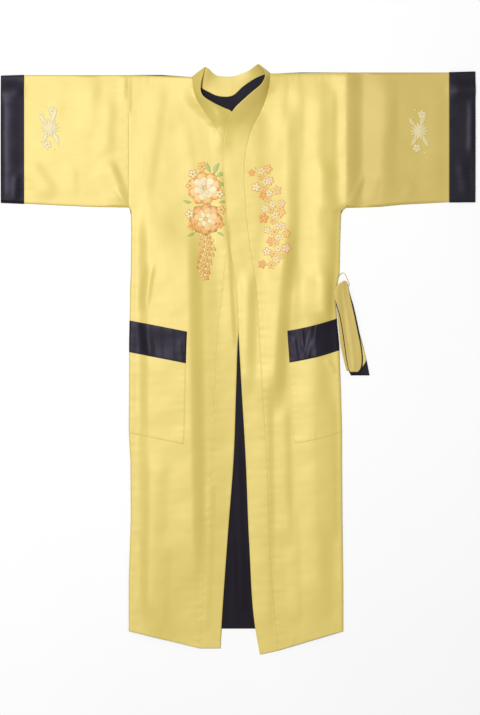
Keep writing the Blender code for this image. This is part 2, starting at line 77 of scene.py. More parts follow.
# Flat sizes of the cuts, width and length
BACK_FLAT = (0.525, 1.345)
FRONT_FLAT = (0.215, 1.38)
POCKET_FLAT_WIDTH = 0.136
POCKET_TURNED_IN = 0.020
BAND_FLAT_WIDTH = 0.054
BAND_WIDTH = 0.050

# Distances between a mesh's points
FRONT_PITCH = 0.0042
FRONT_LINING_PITCH = 0.0075
BACK_PITCH = 0.0085
BACK_LINING_PITCH = 0.0075
POCKET_PITCH = 0.0036
BAND_PITCH = 0.0042
SLEEVE_PITCH = 0.0048
CUFF_PITCH = 0.0040
EDGE_STEPS = np.array((0, 0.0003, 0.0008, 0.0016, 0.0028))
EDGE_REACH = 0.005

# Body
RIGHT_SHOULDER_Y = 0.684
LEFT_SHOULDER_Y = 0.690
HEM_Y = -0.650
BACK_HEM_Y = HEM_Y + 0.0055
BACK_LENGTH = 1.34
ARMHOLE_X = 0.262
RIGHT_FRONT_SAG = 0.041
LEFT_FRONT_SAG = 0.046
SAG_FULL_Y = 0.094
LEFT_HITCH = 0.0030
HITCH_Y = 0.060
HITCH_REACH = 0.090
SHOULDER_BLEND_Y = 0.672
ARMPIT_Y = 0.366
NECK_LIFT = 0.0040
NECK_LIFT_REACH = 0.030

# Pockets
POCKET_TOP_Y = 0.0945
POCKET_BAND_Y = 0.0190
POCKET_BOTTOM_Y = -0.175
RIGHT_POCKET_SHARE = 0.652
LEFT_POCKET_SHARE = 0.640
LEFT_POCKET_BEND = 0.0110
POCKET_STITCH_IN = 0.0024

# Sleeves and cuffs
RIGHT_CUFF_SEAM_X = 0.513
LEFT_CUFF_SEAM_X = 0.5065
CUFF_END_X = 0.569
SLEEVE_STITCH_IN = 0.0022
CUFF_STITCH_IN = 0.0100
SLEEVE_HEIGHT = 0.0046
SLEEVE_PUFF = 0.0015
CUFF_PROUD = 0.0006
SLEEVE_DROP = 0.0003
UPPER_SIDE_Z = 0.0035
RING_ACROSS = 64
RING_TURN = 9


def rows_of(kind, *rows):
    """A table of measures, each row read by the names of its columns."""
    return tuple(kind(*row) for row in rows)


Side = namedtuple("Side", "y right left")
SIDES = rows_of(
    Side,
    (0.690, 0.262, 0.262), (0.369, 0.262, 0.262), (0.357, 0.257, 0.247), (0.300, 0.256, 0.245),
    (0.210, 0.257, 0.243), (0.165, 0.259, 0.235), (0.130, 0.259, 0.235), (0.090, 0.260, 0.237),
    (0.040, 0.261, 0.242), (-0.060, 0.261, 0.246), (-0.170, 0.262, 0.249), (-0.240, 0.258, 0.249),
    (-0.380, 0.257, 0.250), (-0.530, 0.262, 0.252), (-0.650, 0.262, 0.252),
)

# The neckband: its seam, its free rim, and how far the rim stands up
Band = namedtuple("Band", "seam_x seam_y rim_x rim_y rise")
RIGHT_BAND = rows_of(
    Band,
    (-0.110, 0.679, -0.078, 0.702, 0.010),
    (-0.109, 0.668, -0.083, 0.685, 0.012),
    (-0.107, 0.650, -0.089, 0.659, 0.016),
    (-0.099, 0.625, -0.085, 0.634, 0.018),
    (-0.084, 0.600, -0.061, 0.617, 0.015),
    (-0.070, 0.579, -0.035, 0.605, 0.008),
    (-0.055, 0.557, -0.014, 0.595, 0.002),
    (-0.038, 0.533, 0.007, 0.568, 0.0),
    (-0.026, 0.499, 0.023, 0.514, 0.0),
    (-0.022, 0.456, 0.028, 0.461, 0.0),
    (-0.020, 0.384, 0.030, 0.384, 0.0),
    (-0.022, 0.322, 0.028, 0.322, 0.0),
    (-0.038, 0.168, 0.012, 0.168, 0.0),
    (-0.050, 0.048, 0.000, 0.048, 0.0),
    (-0.054, -0.058, -0.004, -0.058, 0.0),
    (-0.060, -0.228, -0.010, -0.228, 0.0),
    (-0.074, -0.415, -0.024, -0.415, 0.0),
    (-0.090, -0.646, -0.040, -0.646, 0.0),
    (-0.093, -0.700, -0.043, -0.700, 0.0),
)
LEFT_BAND = rows_of(
    Band,
    (0.077, 0.687, 0.048, 0.709, 0.014),
    (0.077, 0.676, 0.061, 0.697, 0.017),
    (0.075, 0.660, 0.065, 0.679, 0.022),
    (0.071, 0.641, 0.055, 0.659, 0.024),
    (0.065, 0.620, 0.035, 0.642, 0.022),
    (0.056, 0.598, 0.011, 0.621, 0.020),
    (0.044, 0.574, -0.010, 0.600, 0.014),
    (0.033, 0.550, -0.024, 0.574, 0.007),
    (0.024, 0.521, -0.032, 0.541, 0.0020),
    (0.018, 0.485, -0.036, 0.503, 0.0005),
    (0.016, 0.444, -0.036, 0.451, 0.0),
    (0.019, 0.384, -0.031, 0.386, 0.0),
    (0.024, 0.322, -0.026, 0.322, 0.0),
    (0.046, 0.168, -0.005, 0.168, 0.0),
    (0.053, 0.048, 0.002, 0.048, 0.0),
    (0.059, -0.058, 0.008, -0.058, 0.0),
    (0.070, -0.228, 0.018, -0.228, 0.0),
    (0.078, -0.440, 0.027, -0.442, 0.0),
    (0.091, -0.624, 0.040, -0.634, 0.0),
    (0.098, -0.700, 0.053, -0.710, 0.0),
)
RIGHT_NECK = rows_of(
    Band,
    (-0.014, 0.634, -0.014, 0.680, 0.0010),
    (-0.046, 0.633, -0.046, 0.681, 0.0015),
    (-0.072, 0.644, -0.060, 0.688, 0.0040),
    (-0.093, 0.657, -0.072, 0.699, 0.0100),
)
LEFT_NECK = rows_of(
    Band,
    (-0.014, 0.634, -0.014, 0.680, 0.0010),
    (0.012, 0.656, 0.007, 0.686, 0.0015),
    (0.038, 0.674, 0.026, 0.694, 0.0040),
    (0.060, 0.684, 0.040, 0.704, 0.0100),
)

# The largest folds, as in the solid model, then the creases that only show here. A fold runs from its first
# point to its second, rises over one width from its left and falls over another to its right. A trough has a
# negative height.
Fold = namedtuple("Fold", "x0 y0 x1 y1 rise fall height")
BODY_FOLDS = rows_of(
    Fold,
    (-0.124, 0.290, -0.111, -0.500, 0.110, 0.040, 0.0066),
    (-0.105, 0.260, -0.090, -0.600, 0.100, 0.080, 0.0036),
    (-0.196, -0.240, -0.214, -0.600, 0.050, 0.040, 0.0020),
    (0.112, 0.600, 0.112, 0.200, 0.056, 0.036, 0.0040),
    (0.108, 0.290, 0.080, -0.080, 0.064, 0.034, 0.0062),
    (0.068, -0.040, 0.070, -0.640, 0.050, 0.020, 0.0014),
    (0.196, 0.650, 0.186, 0.100, 0.048, 0.054, 0.0052),
    (0.180, 0.060, 0.190, -0.600, 0.060, 0.050, 0.0040),
)
BODY_CREASES = rows_of(
    Fold,
    (-0.206, 0.222, -0.222, 0.128, 0.024, 0.010, 0.0018),
    (-0.190, 0.640, -0.222, 0.400, 0.050, 0.026, 0.0011),
    (-0.266, 0.680, -0.266, 0.590, 0.010, 0.012, 0.0012),
    (-0.128, 0.560, -0.112, 0.440, 0.030, 0.022, 0.0006),
    (-0.046, 0.450, -0.036, 0.290, 0.030, 0.016, 0.0013),
    (-0.028, 0.320, -0.012, 0.040, 0.036, 0.009, 0.0014),
    (-0.232, -0.170, -0.240, -0.420, 0.020, 0.020, 0.0008),
    (-0.176, -0.440, -0.184, -0.640, 0.030, 0.022, 0.0009),
    (-0.066, -0.300, -0.078, -0.640, 0.020, 0.016, 0.0008),
    (0.262, 0.700, 0.262, 0.350, 0.054, 0.034, 0.0046),
    (0.212, 0.470, 0.214, 0.350, 0.040, 0.034, 0.0034),
    (0.214, 0.320, 0.218, 0.100, 0.040, 0.026, 0.0022),
    (0.022, 0.200, 0.022, -0.060, 0.024, 0.026, 0.0020),
    (0.150, 0.640, 0.146, 0.480, 0.020, 0.012, 0.0004),
    (0.112, 0.668, 0.106, 0.580, 0.024, 0.014, 0.0007),
    (0.226, 0.640, 0.224, 0.480, 0.030, 0.014, 0.0008),
    (0.110, -0.120, 0.116, -0.430, 0.030, 0.020, 0.0012),
    (0.220, -0.100, 0.226, -0.420, 0.034, 0.024, 0.0016),
    (0.132, -0.360, 0.140, -0.620, 0.026, 0.020, 0.0010),
    (0.214, 0.000, 0.232, -0.030, 0.012, 0.010, 0.0010),
    (0.064, 0.676, -0.030, 0.578, 0.030, 0.042, 0.0040),
    (-0.112, 0.646, -0.036, 0.574, 0.040, 0.026, 0.0060),
    (-0.046, 0.620, -0.044, 0.500, 0.024, 0.036, 0.0022),
    (-0.212, 0.350, -0.206, -0.640, 0.034, 0.096, 0.0060),
    (0.146, 0.660, 0.136, 0.110, 0.040, 0.046, 0.0028),
    (0.106, 0.240, 0.094, -0.080, 0.040, 0.030, 0.0014),
    (0.232, 0.380, 0.228, 0.230, 0.034, 0.018, 0.0014),
    (0.210, 0.212, 0.206, 0.092, 0.060, 0.024, 0.0056),
)
SLEEVE_FOLDS = rows_of(
    Fold,
    (-0.353, 0.672, -0.350, 0.545, 0.050, 0.032, 0.0018),
    (-0.312, 0.624, -0.318, 0.500, 0.034, 0.028, 0.0016),
    (-0.499, 0.473, -0.451, 0.400, 0.050, 0.032, 0.0018),
    (-0.310, 0.470, -0.274, 0.380, 0.050, 0.022, 0.0028),
    (0.262, 0.700, 0.262, 0.350, 0.036, 0.040, 0.0046),
    (0.350, 0.660, 0.346, 0.400, 0.064, 0.040, 0.0024),
    (0.476, 0.640, 0.474, 0.400, 0.050, 0.030, 0.0012),
)
SLEEVE_CREASES = rows_of(
    Fold,
    (-0.398, 0.461, -0.394, 0.400, 0.030, 0.016, 0.0006),
    (-0.271, 0.680, -0.272, 0.628, 0.020, 0.007, 0.0009),
    (-0.290, 0.410, -0.268, 0.372, 0.012, 0.008, 0.0012),
    (-0.430, 0.640, -0.438, 0.560, 0.030, 0.024, 0.0005),
    (0.366, 0.636, 0.366, 0.540, 0.030, 0.022, 0.0009),
    (0.300, 0.440, 0.274, 0.378, 0.012, 0.010, 0.0016),
    (0.330, 0.440, 0.316, 0.380, 0.030, 0.018, 0.0010),
    (0.420, 0.420, 0.400, 0.388, 0.020, 0.016, 0.0006),
    (0.350, 0.700, 0.350, 0.360, 0.060, 0.160, 0.0036),
    (0.300, 0.700, 0.300, 0.360, 0.040, 0.060, -0.0012),
    (-0.590, 0.644, -0.518, 0.644, 0.030, 0.034, 0.0024),
    (-0.556, 0.640, -0.554, 0.370, 0.030, 0.050, 0.0044),
    (-0.530, 0.440, -0.534, 0.384, 0.014, 0.012, 0.0010),
    (0.512, 0.648, 0.600, 0.648, 0.030, 0.032, 0.0034),
    (0.562, 0.620, 0.560, 0.500, 0.016, 0.012, 0.0014),
    (0.536, 0.470, 0.548, 0.400, 0.020, 0.016, 0.0008),
)
POCKET_BAND_CREASES = rows_of(
    Fold,
    (-0.229, 0.100, -0.211, 0.004, 0.013, 0.022, 0.0017),
    (-0.190, 0.092, -0.186, -0.004, 0.010, 0.012, 0.0005),
    (-0.160, 0.084, -0.158, -0.010, 0.008, 0.010, 0.0004),
    (-0.140, 0.040, -0.134, -0.010, 0.008, 0.008, 0.0006),
    (0.134, 0.050, 0.142, -0.004, 0.008, 0.008, 0.0010),
    (0.150, 0.086, 0.157, 0.024, 0.009, 0.008, 0.0013),
    (0.186, 0.082, 0.164, 0.000, 0.012, 0.016, 0.0020),
    (0.190, 0.110, 0.186, -0.030, 0.014, 0.056, 0.0030),
)

SleeveEdge = namedtuple("SleeveEdge", "x top bottom")
RIGHT_SLEEVE = rows_of(
    SleeveEdge,
    (0.262, 0.684, 0.3660), (0.355, 0.684, 0.3675), (0.500, 0.684, 0.3745), (0.569, 0.682, 0.3775),
)
LEFT_SLEEVE = rows_of(
    SleeveEdge,
    (0.262, 0.690, 0.3650), (0.341, 0.690, 0.3675), (0.389, 0.690, 0.3725), (0.500, 0.690, 0.3785),
    (0.569, 0.692, 0.3790),
)

# The belt's stretches, with both edges from top to bottom
Stretch = namedtuple("Stretch", "y left right")
BELT_REAR = rows_of(
    Stretch,
    (0.160, 0.2450, 0.2668), (0.133, 0.2440, 0.2734), (0.102, 0.2450, 0.2830),
    (0.065, 0.2490, 0.2915), (0.034, 0.2550, 0.3000), (-0.010, 0.2630, 0.3104),
    (-0.037, 0.2700, 0.3156),
)
BELT_UNDER = rows_of(
    Stretch,
    (0.172, 0.2440, 0.2640), (0.133, 0.2460, 0.2720), (0.102, 0.2530, 0.2815),
    (0.065, 0.2590, 0.2905), (0.034, 0.2620, 0.2992), (0.008, 0.2650, 0.3062),
    (-0.004, 0.2680, 0.3060), (-0.016, 0.2740, 0.2990),
)
BELT_INNER = rows_of(
    Stretch,
    (0.174, 0.2380, 0.2600), (0.150, 0.2350, 0.2620), (0.130, 0.2368, 0.2630),
    (0.102, 0.2385, 0.2640), (0.065, 0.2424, 0.2680), (0.034, 0.2462, 0.2720),
    (0.003, 0.2528, 0.2780), (-0.025, 0.2600, 0.2840),
)
BELT_FRONT = rows_of(
    Stretch,
    (0.1900, 0.2535, 0.2585), (0.1850, 0.2455, 0.2612), (0.1785, 0.2370, 0.2634),
    (0.1710, 0.2318, 0.2650), (0.1600, 0.2290, 0.2670), (0.1330, 0.2368, 0.2728),
    (0.1020, 0.2460, 0.2798), (0.0650, 0.2525, 0.2874), (0.0340, 0.2568, 0.2935),
    (0.0030, 0.2612, 0.2968), (-0.0190, 0.2652, 0.2940), (-0.0285, 0.2690, 0.2870),
)
# The belt's dark reverse under its front strand, set out past both its edges so that it also shows as painted
# shade along them
BELT_REVERSE_AND_SHADE = rows_of(
    Stretch,
    (0.1820, 0.2500, 0.2615), (0.1500, 0.2350, 0.2705), (0.1330, 0.2350, 0.2758),
    (0.1020, 0.2438, 0.2830), (0.0650, 0.2503, 0.2906), (0.0340, 0.2546, 0.2962),
    (0.0030, 0.2592, 0.2996), (-0.0200, 0.2640, 0.2975), (-0.0325, 0.2680, 0.2930),
)
BELT_REAR_HEIGHT = 0.0026
BELT_WALL = 0.0011
BELT_LAYER = BELT_WALL + GAP
BELT_RAMP = 0.024
BELT_CLOTH = 0.0009

LOOP_PATH = (
    (0.2385, 0.1975, 0.0030), (0.2425, 0.2025, 0.0030), (0.2470, 0.2070, 0.0030),
    (0.2525, 0.2090, 0.0032), (0.2570, 0.2050, 0.0032), (0.2610, 0.1970, 0.0032),
    (0.2655, 0.1850, 0.0032), (0.2660, 0.1795, 0.0032), (0.2620, 0.1770, 0.0032),
    (0.2540, 0.1775, 0.0030), (0.2460, 0.1790, 0.0026), (0.2390, 0.1800, 0.0024),
)


# Shape functions

def column(table, name):
    return np.array([getattr(row, name) for row in table], float)


def curve(at, keys, values):
    """A smooth curve through points, read at one or many places."""
    keys, values = np.asarray(keys, float), np.asarray(values, float)
    if keys[0] > keys[-1]:
        keys, values = keys[::-1], values[::-1]
    slopes = np.gradient(values, keys)
    i = np.clip(np.searchsorted(keys, at) - 1, 0, len(keys) - 2)
    span = keys[i + 1] - keys[i]
    t = np.clip((at - keys[i]) / span, 0, 1)
    ease = t * t * (3 - 2 * t)
    ends = t * (1 - t) * span * ((1 - t) * slopes[i] - t * slopes[i + 1])
    return values[i] + (values[i + 1] - values[i]) * ease + ends


def smooth_step(low, high, value):
    t = np.clip((value - low) / (high - low), 0, 1)
    return t * t * (3 - 2 * t)


def round_edge(distance, radius):
    """1 at an edge, falling to 0 at a radius from it, along a quarter circle."""
    t = 1 - np.clip(distance / radius, 0, 1)
    return 1 - np.sqrt(np.maximum(1 - t * t, 0))


def soft_edge(distance, radius):
    """1 at an edge, falling to 0 at a radius from it with no sharp end."""
    return (1 - np.clip(distance / radius, 0, 1)) ** 2


def side_x(y, side):
    """Where the side seam runs; side is -1 for the wearer's right and 1 for the left."""
    keys = column(SIDES, "y")[::-1]
    return side * np.interp(y, keys, column(SIDES, "right" if side < 0 else "left")[::-1])


def shoulder_y(side):
    return RIGHT_SHOULDER_Y if side < 0 else LEFT_SHOULDER_Y


def fold_height(x, y, folds):
    """Height of all the folds of a table together."""
    total = np.zeros(np.broadcast(x, y).shape)
    for fold in folds:
        run_x, run_y = fold.x1 - fold.x0, fold.y1 - fold.y0
        length = hypot(run_x, run_y)
        along = ((x - fold.x0) * run_x + (y - fold.y0) * run_y) / length
        across = ((y - fold.y0) * run_x - (x - fold.x0) * run_y) / length
        share = np.clip(np.where(across < 0, -across / fold.rise, across / fold.fall), 0, 1)
        fade = min(1.1 * (fold.rise + fold.fall), 0.45 * length)
        ends = smooth_step(-fade / 2, fade / 2, along) * smooth_step(-fade / 2, fade / 2, length - along)
        total += fold.height * (0.5 + 0.5 * np.cos(pi * share)) * ends
    return total


def ripple(x, y, seed, wavelength, height):
    """A soft uneven surface: waves of about one length, in random directions."""
    rng = np.random.default_rng(seed)
    total = np.zeros(np.broadcast(x, y).shape)
    waves = 9
    for _ in range(waves):
        turn, phase = rng.uniform(0, 2 * pi, 2)
        k = 2 * pi / (wavelength * rng.uniform(0.7, 1.5))
        total += np.sin(k * (cos(turn) * x + sin(turn) * y) + phase)
    return height * total / np.sqrt(waves)


def neck_lift(x, y):
    """Rise of the fronts where the neckband stands up at the shoulders."""
    lift = 0
    for band in (RIGHT_BAND[0], LEFT_BAND[0]):
        far = (x - band.seam_x) ** 2 + (y - band.seam_y) ** 2
        lift = lift + NECK_LIFT * np.exp(-far / (2 * NECK_LIFT_REACH**2))
    return lift


def overlap_lift(x, y):
    """Rise of the left front where it lies over the right one."""
    under = curve(y, column(RIGHT_BAND, "rim_y"), column(RIGHT_BAND, "rim_x"))
    over = 1 - smooth_step(under + 0.012, under + 0.085, x)
    return OVERLAP_LIFT * over * smooth_step(-0.160, 0.020, y)


def drape(x, y, side):
    """Rise of the fronts above flat cloth, as in the solid model."""
    height = fold_height(x, y, BODY_FOLDS) + neck_lift(x, y)
    seam = smooth_step(0, 0.020, abs(side_x(y, side)) - abs(x))
    height = height * (0.25 + 0.75 * seam)
    if side > 0:
        height = height + overlap_lift(x, y)
    return height


def fine_drape(x, y, side):
    """The fronts' form with the small creases too, faded out at the side seam."""
    inside = 1 - edge_pull(y) * (1 - smooth_step(0.0, 0.020, abs(side_x(y, side)) - abs(x)))
    small = fold_height(x, y, BODY_CREASES)
    small = small + ripple(x, y, 5, 0.085, 0.00020) + ripple(x, y, 6, 0.030, 0.00005)
    return np.maximum(drape(x, y, side) + small * inside, -0.0004)


def dense(length, pitch):
    """Places from 0 to a length, close together near both ends and a pitch apart between them."""
    gaps = max(int(round((length - 2 * EDGE_REACH) / pitch)), 2)
    middle = np.linspace(EDGE_REACH, length - EDGE_REACH, gaps + 1)
    return np.concatenate([EDGE_STEPS, middle, length - EDGE_STEPS[::-1]])


# Mesh helpers

def link(name, points, faces, material, uv=None):
    """An object of one mesh, which rides on the robe."""
    mesh = bpy.data.meshes.new(name)
    faces = np.asarray(faces, np.int32)
    sides = faces.shape[1]
    mesh.vertices.add(len(points))
    mesh.vertices.foreach_set("co", np.ascontiguousarray(points, np.float32).ravel())
    mesh.loops.add(faces.size)
    mesh.loops.foreach_set("vertex_index", faces.ravel())
    mesh.polygons.add(len(faces))
    mesh.polygons.foreach_set("loop_start", np.arange(len(faces), dtype=np.int32) * sides)
    mesh.polygons.foreach_set("use_smooth", np.ones(len(faces), bool))
    mesh.update(calc_edges=True)
    mesh.validate()
    if uv is not None:
        layer = mesh.uv_layers.new(name="cloth")
        index = np.zeros(len(mesh.loops), np.int32)
        mesh.loops.foreach_get("vertex_index", index)
        layer.data.foreach_set("uv", np.ascontiguousarray(uv[index], np.float32).ravel())
    for each in material if isinstance(material, (list, tuple)) else [material]:
        mesh.materials.append(each)
    thing = bpy.data.objects.new(name, mesh)
    bpy.context.scene.collection.objects.link(thing)
    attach(thing, "root")
    return thing


def normals(grid):
    """Unit normals of a grid of points."""
    out = np.cross(np.gradient(grid, axis=1), np.gradient(grid, axis=0))
    return out / np.maximum(np.linalg.norm(out, axis=2, keepdims=True), 1e-12)


def upward(out):
    """Normals turned over where they point down."""
    return out * np.where(out[..., 2:] < 0, -1, 1)


def unit(vectors):
    """Vectors of length 1 along the given ones."""
    return vectors / np.linalg.norm(vectors, axis=-1, keepdims=True)


def running_length(path):
    """Distance along a path at each of its points."""
    return np.concatenate([[0], np.cumsum(np.linalg.norm(np.diff(path, axis=0), axis=1))])


def rim_of(number):
    """The numbers round the edge of a grid, back to the first."""
    rim = np.concatenate([number[0, :-1], number[:-1, -1], number[-1, :0:-1], number[:0:-1, 0]])
    return np.append(rim, rim[0])


def two_faced(thing, count):
    """Gives a mesh's second batch of faces its second material."""
    index = np.zeros(len(thing.data.polygons), np.int32)
    index[count : 2 * count] = 1
    thing.data.polygons.foreach_set("material_index", index)


BACKWARDS = [0, 3, 2, 1]


def grid_faces(number):
    """The four-cornered faces between a grid's neighbouring points."""
    a, b, c, d = number[:-1, :-1], number[:-1, 1:], number[1:, 1:], number[1:, :-1]
    return np.stack([a, b, c, d], axis=-1).reshape(-1, 4)


def looped(number):
    """A grid of numbers with its first column again at its end."""
    return np.concatenate([number, number[:, :1]], axis=1)


def shell(name, upper, lower, material, uv, inner_material=None):
    """A closed sheet between two grids; inner_material goes on the lower one."""
    rows, columns = upper.shape[:2]
    number = np.arange(rows * columns).reshape(rows, columns)
    under = number + rows * columns
    faces = [grid_faces(number), grid_faces(under)[:, BACKWARDS]]
    count = len(faces[0])
    rim = rim_of(number)
    low = rim + rows * columns
    faces.append(np.stack([rim[1:], rim[:-1], low[:-1], low[1:]], axis=-1))
    points = np.concatenate([upper.reshape(-1, 3), lower.reshape(-1, 3)])
    faces = np.concatenate(faces)
    if np.cross(upper[0, 1] - upper[0, 0], upper[1, 0] - upper[0, 0]) @ (upper[0, 0] - lower[0, 0]) < 0:
        faces = faces[:, ::-1]
    both = np.concatenate([uv.reshape(-1, 2), uv.reshape(-1, 2)])
    materials = [material] if inner_material is None else [material, inner_material]
    thing = link(name, points, faces, materials, both)
    if inner_material is not None:
        two_faced(thing, count)
    return thing


def tube_shell(name, outer, inner, material, uv, inner_material):
    """A closed wall between two tubes of rings."""
    stations, around = outer.shape[:2]
    number = np.arange(stations * around).reshape(stations, around)
    ring = looped(number)
    within = ring + stations * around
    first = grid_faces(ring)
    start = np.stack([ring[0, 1:], ring[0, :-1], within[0, :-1], within[0, 1:]], axis=-1)
    end = np.stack([ring[-1, :-1], ring[-1, 1:], within[-1, 1:], within[-1, :-1]], axis=-1)
    faces = np.concatenate([first, grid_faces(within)[:, BACKWARDS], start, end])
    a, b, c = outer[0, 0], outer[0, 1], outer[1, 0]
    if np.cross(b - a, c - a) @ (outer[0, 0] - inner[0, 0]) < 0:
        faces = faces[:, ::-1]
    points = np.concatenate([outer.reshape(-1, 3), inner.reshape(-1, 3)])
    both = np.concatenate([uv.reshape(-1, 2), uv.reshape(-1, 2)])
    thing = link(name, points, faces, [material, inner_material], both)
    two_faced(thing, len(first))
    return thing


def level_sheet(name, plan, z, thickness, material, inner_material=None):
    """A sheet over plan points at a height, of one thickness across its own normal."""
    middle = np.concatenate([plan, z[..., None]], axis=2)
    half = upward(normals(middle)) * thickness / 2
    thing = shell(name, middle + half, middle - half, material, plan, inner_material)
    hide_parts(name.replace("_cloth", ""))
    return thing


def plan_area(plan):
    """Flat area that a grid of plan points covers."""
    p = plan[..., :2]
    a = p[1:, 1:] - p[:-1, :-1]
    b = p[1:, :-1] - p[:-1, 1:]
    return float(abs(a[..., 0] * b[..., 1] - a[..., 1] * b[..., 0]).sum() / 2)


def declare(thing, width, length, area=None, held="laid"):
    """Works out a sheet's real area, the lesser of the area given and width times length, and does nothing
    further with it.
    """
    area = None if area is None else min(area, width * length)


# Materials

class Nodes:
    """A short way to add and join a material's nodes."""

    def __init__(self, name):
        self.material = bpy.data.materials.new(name)
        self.material.use_nodes = True
        self.tree = self.material.node_tree
        self.shader = self.tree.nodes["Principled BSDF"]

    def add(self, kind, **settings):
        node = self.tree.nodes.new(kind)
        for key, value in settings.items():
            if key in node.inputs:
                node.inputs[key].default_value = value
            else:
                setattr(node, key, value)
        return node

    def join(self, out, into):
        self.tree.links.new(out, into)

    def scaled(self, vector, scale, turn=0.0):
        node = self.add("ShaderNodeMapping", Scale=scale, Rotation=(0, 0, turn))
        self.join(vector, node.inputs["Vector"])
        return node.outputs["Vector"]

    def noise(self, vector, scale, detail, roughness=0.5):
        node = self.add("ShaderNodeTexNoise", Scale=scale, Detail=detail, Roughness=roughness)
        self.join(vector, node.inputs["Vector"])
        return node.outputs["Fac"]

    def colour(self, share, low, dark, high, light):
        """A base colour that is dark up to a low share and light from a high one."""
        node = self.add("ShaderNodeValToRGB")
        for stop, position, tone in zip(node.color_ramp.elements, (low, high), (dark, light)):
            stop.position = position
            stop.color = (*tone, 1)
        self.join(share, node.inputs["Fac"])
        self.join(node.outputs["Color"], self.shader.inputs["Base Color"])

    def bump(self, height, strength, distance):
        node = self.add("ShaderNodeBump", Strength=strength, Distance=distance)
        self.join(height, node.inputs["Height"])
        self.join(node.outputs["Normal"], self.shader.inputs["Normal"])

    def shade(self, values):
        for name, value in values.items():
            self.shader.inputs[name].default_value = value


PATCH_SCALE = (9, 5, 1)
SLUB_SCALE = (900, 16, 1)
FLOAT_SCALE = (2600, 620, 1)
FLOAT_TURN = 0.10
SATIN_BUMP = 0.35
SATIN_DEPTH = 0.00008
SATIN_SPREAD = 0.06
SATIN_SHEEN = 0.1
SATIN_SHEEN_ROUGHNESS = 0.45
THREAD_GRAIN = 900.0
THREAD_ROUGHNESS = 0.42
THREAD_SHEEN = 0.12


def satin(name, light, dark, roughness, gloss, tint, streak=0.10):
    """Satin: a fine slanted float weave, faint slubs along the weft and soft patches of tone."""
    n = Nodes(name)
    uv = n.add("ShaderNodeUVMap", uv_map="cloth").outputs["UV"]
    patch = n.noise(n.scaled(uv, PATCH_SCALE), 1.0, 3.0)
    slub = n.noise(n.scaled(uv, SLUB_SCALE), 1.0, 4.0, 0.6)
    floats = n.noise(n.scaled(uv, FLOAT_SCALE, FLOAT_TURN), 1.0, 1.0, 0.4)
    blend = n.add("ShaderNodeMix", data_type="FLOAT")
    blend.inputs[0].default_value = 1 - streak * 4
    n.join(slub, blend.inputs[2])
    n.join(patch, blend.inputs[3])
    n.colour(blend.outputs[0], 0.34, dark, 0.66, light)
    mixed = n.add("ShaderNodeMath", operation="ADD")
    n.join(floats, mixed.inputs[0])
    n.join(slub, mixed.inputs[1])
    n.bump(mixed.outputs[0], SATIN_BUMP, SATIN_DEPTH)
    rough = n.add("ShaderNodeMapRange")
    rough.inputs["To Min"].default_value = roughness - SATIN_SPREAD
    rough.inputs["To Max"].default_value = roughness + SATIN_SPREAD
    n.join(slub, rough.inputs["Value"])
    n.join(rough.outputs["Result"], n.shader.inputs["Roughness"])
    sheen_tint = [min(1.0, c * 1.25 + 0.1) for c in light]
    n.shade(
        {
            "Specular IOR Level": gloss,
            "Specular Tint": (*tint, 1),
            "Sheen Weight": SATIN_SHEEN,
            "Sheen Roughness": SATIN_SHEEN_ROUGHNESS,
            "Sheen Tint": (*sheen_tint, 1),
        }
    )
    return n.material


def thread(name, colour, dark):
    """Embroidery thread, with its strands seen as a fine change of tone."""
    n = Nodes(name)
    strand = n.noise(n.add("ShaderNodeTexCoord").outputs["Object"], THREAD_GRAIN, 2.0)
    n.colour(strand, 0.35, dark, 0.65, colour)
    n.bump(strand, 0.5, 0.0001)
    n.shade({"Roughness": THREAD_ROUGHNESS, "Sheen Weight": THREAD_SHEEN})
    return n.material


GOLD_LIGHT = (0.672, 0.532, 0.140)
GOLD_DARK = (0.630, 0.494, 0.121)
# A darker copy of the gold satin: painted shade for the weaker sheen of the left sleeve's turned weave, also
# used on the belt's inner and front strands
TURNED_SHADED_LIGHT = (0.585, 0.450, 0.128)
TURNED_SHADED_DARK = (0.545, 0.414, 0.112)
DARK_LIGHT = (0.020, 0.0178, 0.024)
DARK_DARK = (0.012, 0.0105, 0.014)
BACK_LIGHT = (0.64, 0.49, 0.20)
BACK_DARK = (0.60, 0.455, 0.18)
# A darker, less glossy copy of the dark satin: painted shade for the back lining, which lies in shade inside
# the neck and between the fronts
LINING_SHADED_LIGHT = (0.0165, 0.0150, 0.0190)
LINING_SHADED_DARK = (0.0100, 0.0090, 0.0115)
INSIDE_LIGHT = (0.020, 0.018, 0.028)
INSIDE_DARK = (0.014, 0.012, 0.020)
GOLD_SHINE = (1.0, 0.86, 0.50)
DARK_SHINE = (0.80, 0.72, 1.0)

gold = satin("gold_satin", GOLD_LIGHT, GOLD_DARK, 0.45, 1.0, GOLD_SHINE)
gold_turned_shaded = satin("gold_satin_turned", TURNED_SHADED_LIGHT, TURNED_SHADED_DARK, 0.45, 0.50, GOLD_SHINE)
gold_back = satin("gold_satin_back", BACK_LIGHT, BACK_DARK, 0.45, 0.7, GOLD_SHINE)
dark = satin("dark_satin", DARK_LIGHT, DARK_DARK, 0.34, 0.10, DARK_SHINE, streak=0.14)
dark_lining_shaded = satin("dark_satin_lining", LINING_SHADED_LIGHT, LINING_SHADED_DARK, 0.40, 0.05, DARK_SHINE)
dark_inside = satin("dark_satin_inside", INSIDE_LIGHT, INSIDE_DARK, 0.42, 0.05, DARK_SHINE)


# Stitches and embroidery

STITCH_PITCH = 0.0034
STITCH_LENGTH = 0.0026
STITCH_RADIUS = 0.00024
STITCH_LIFT = 0.00006
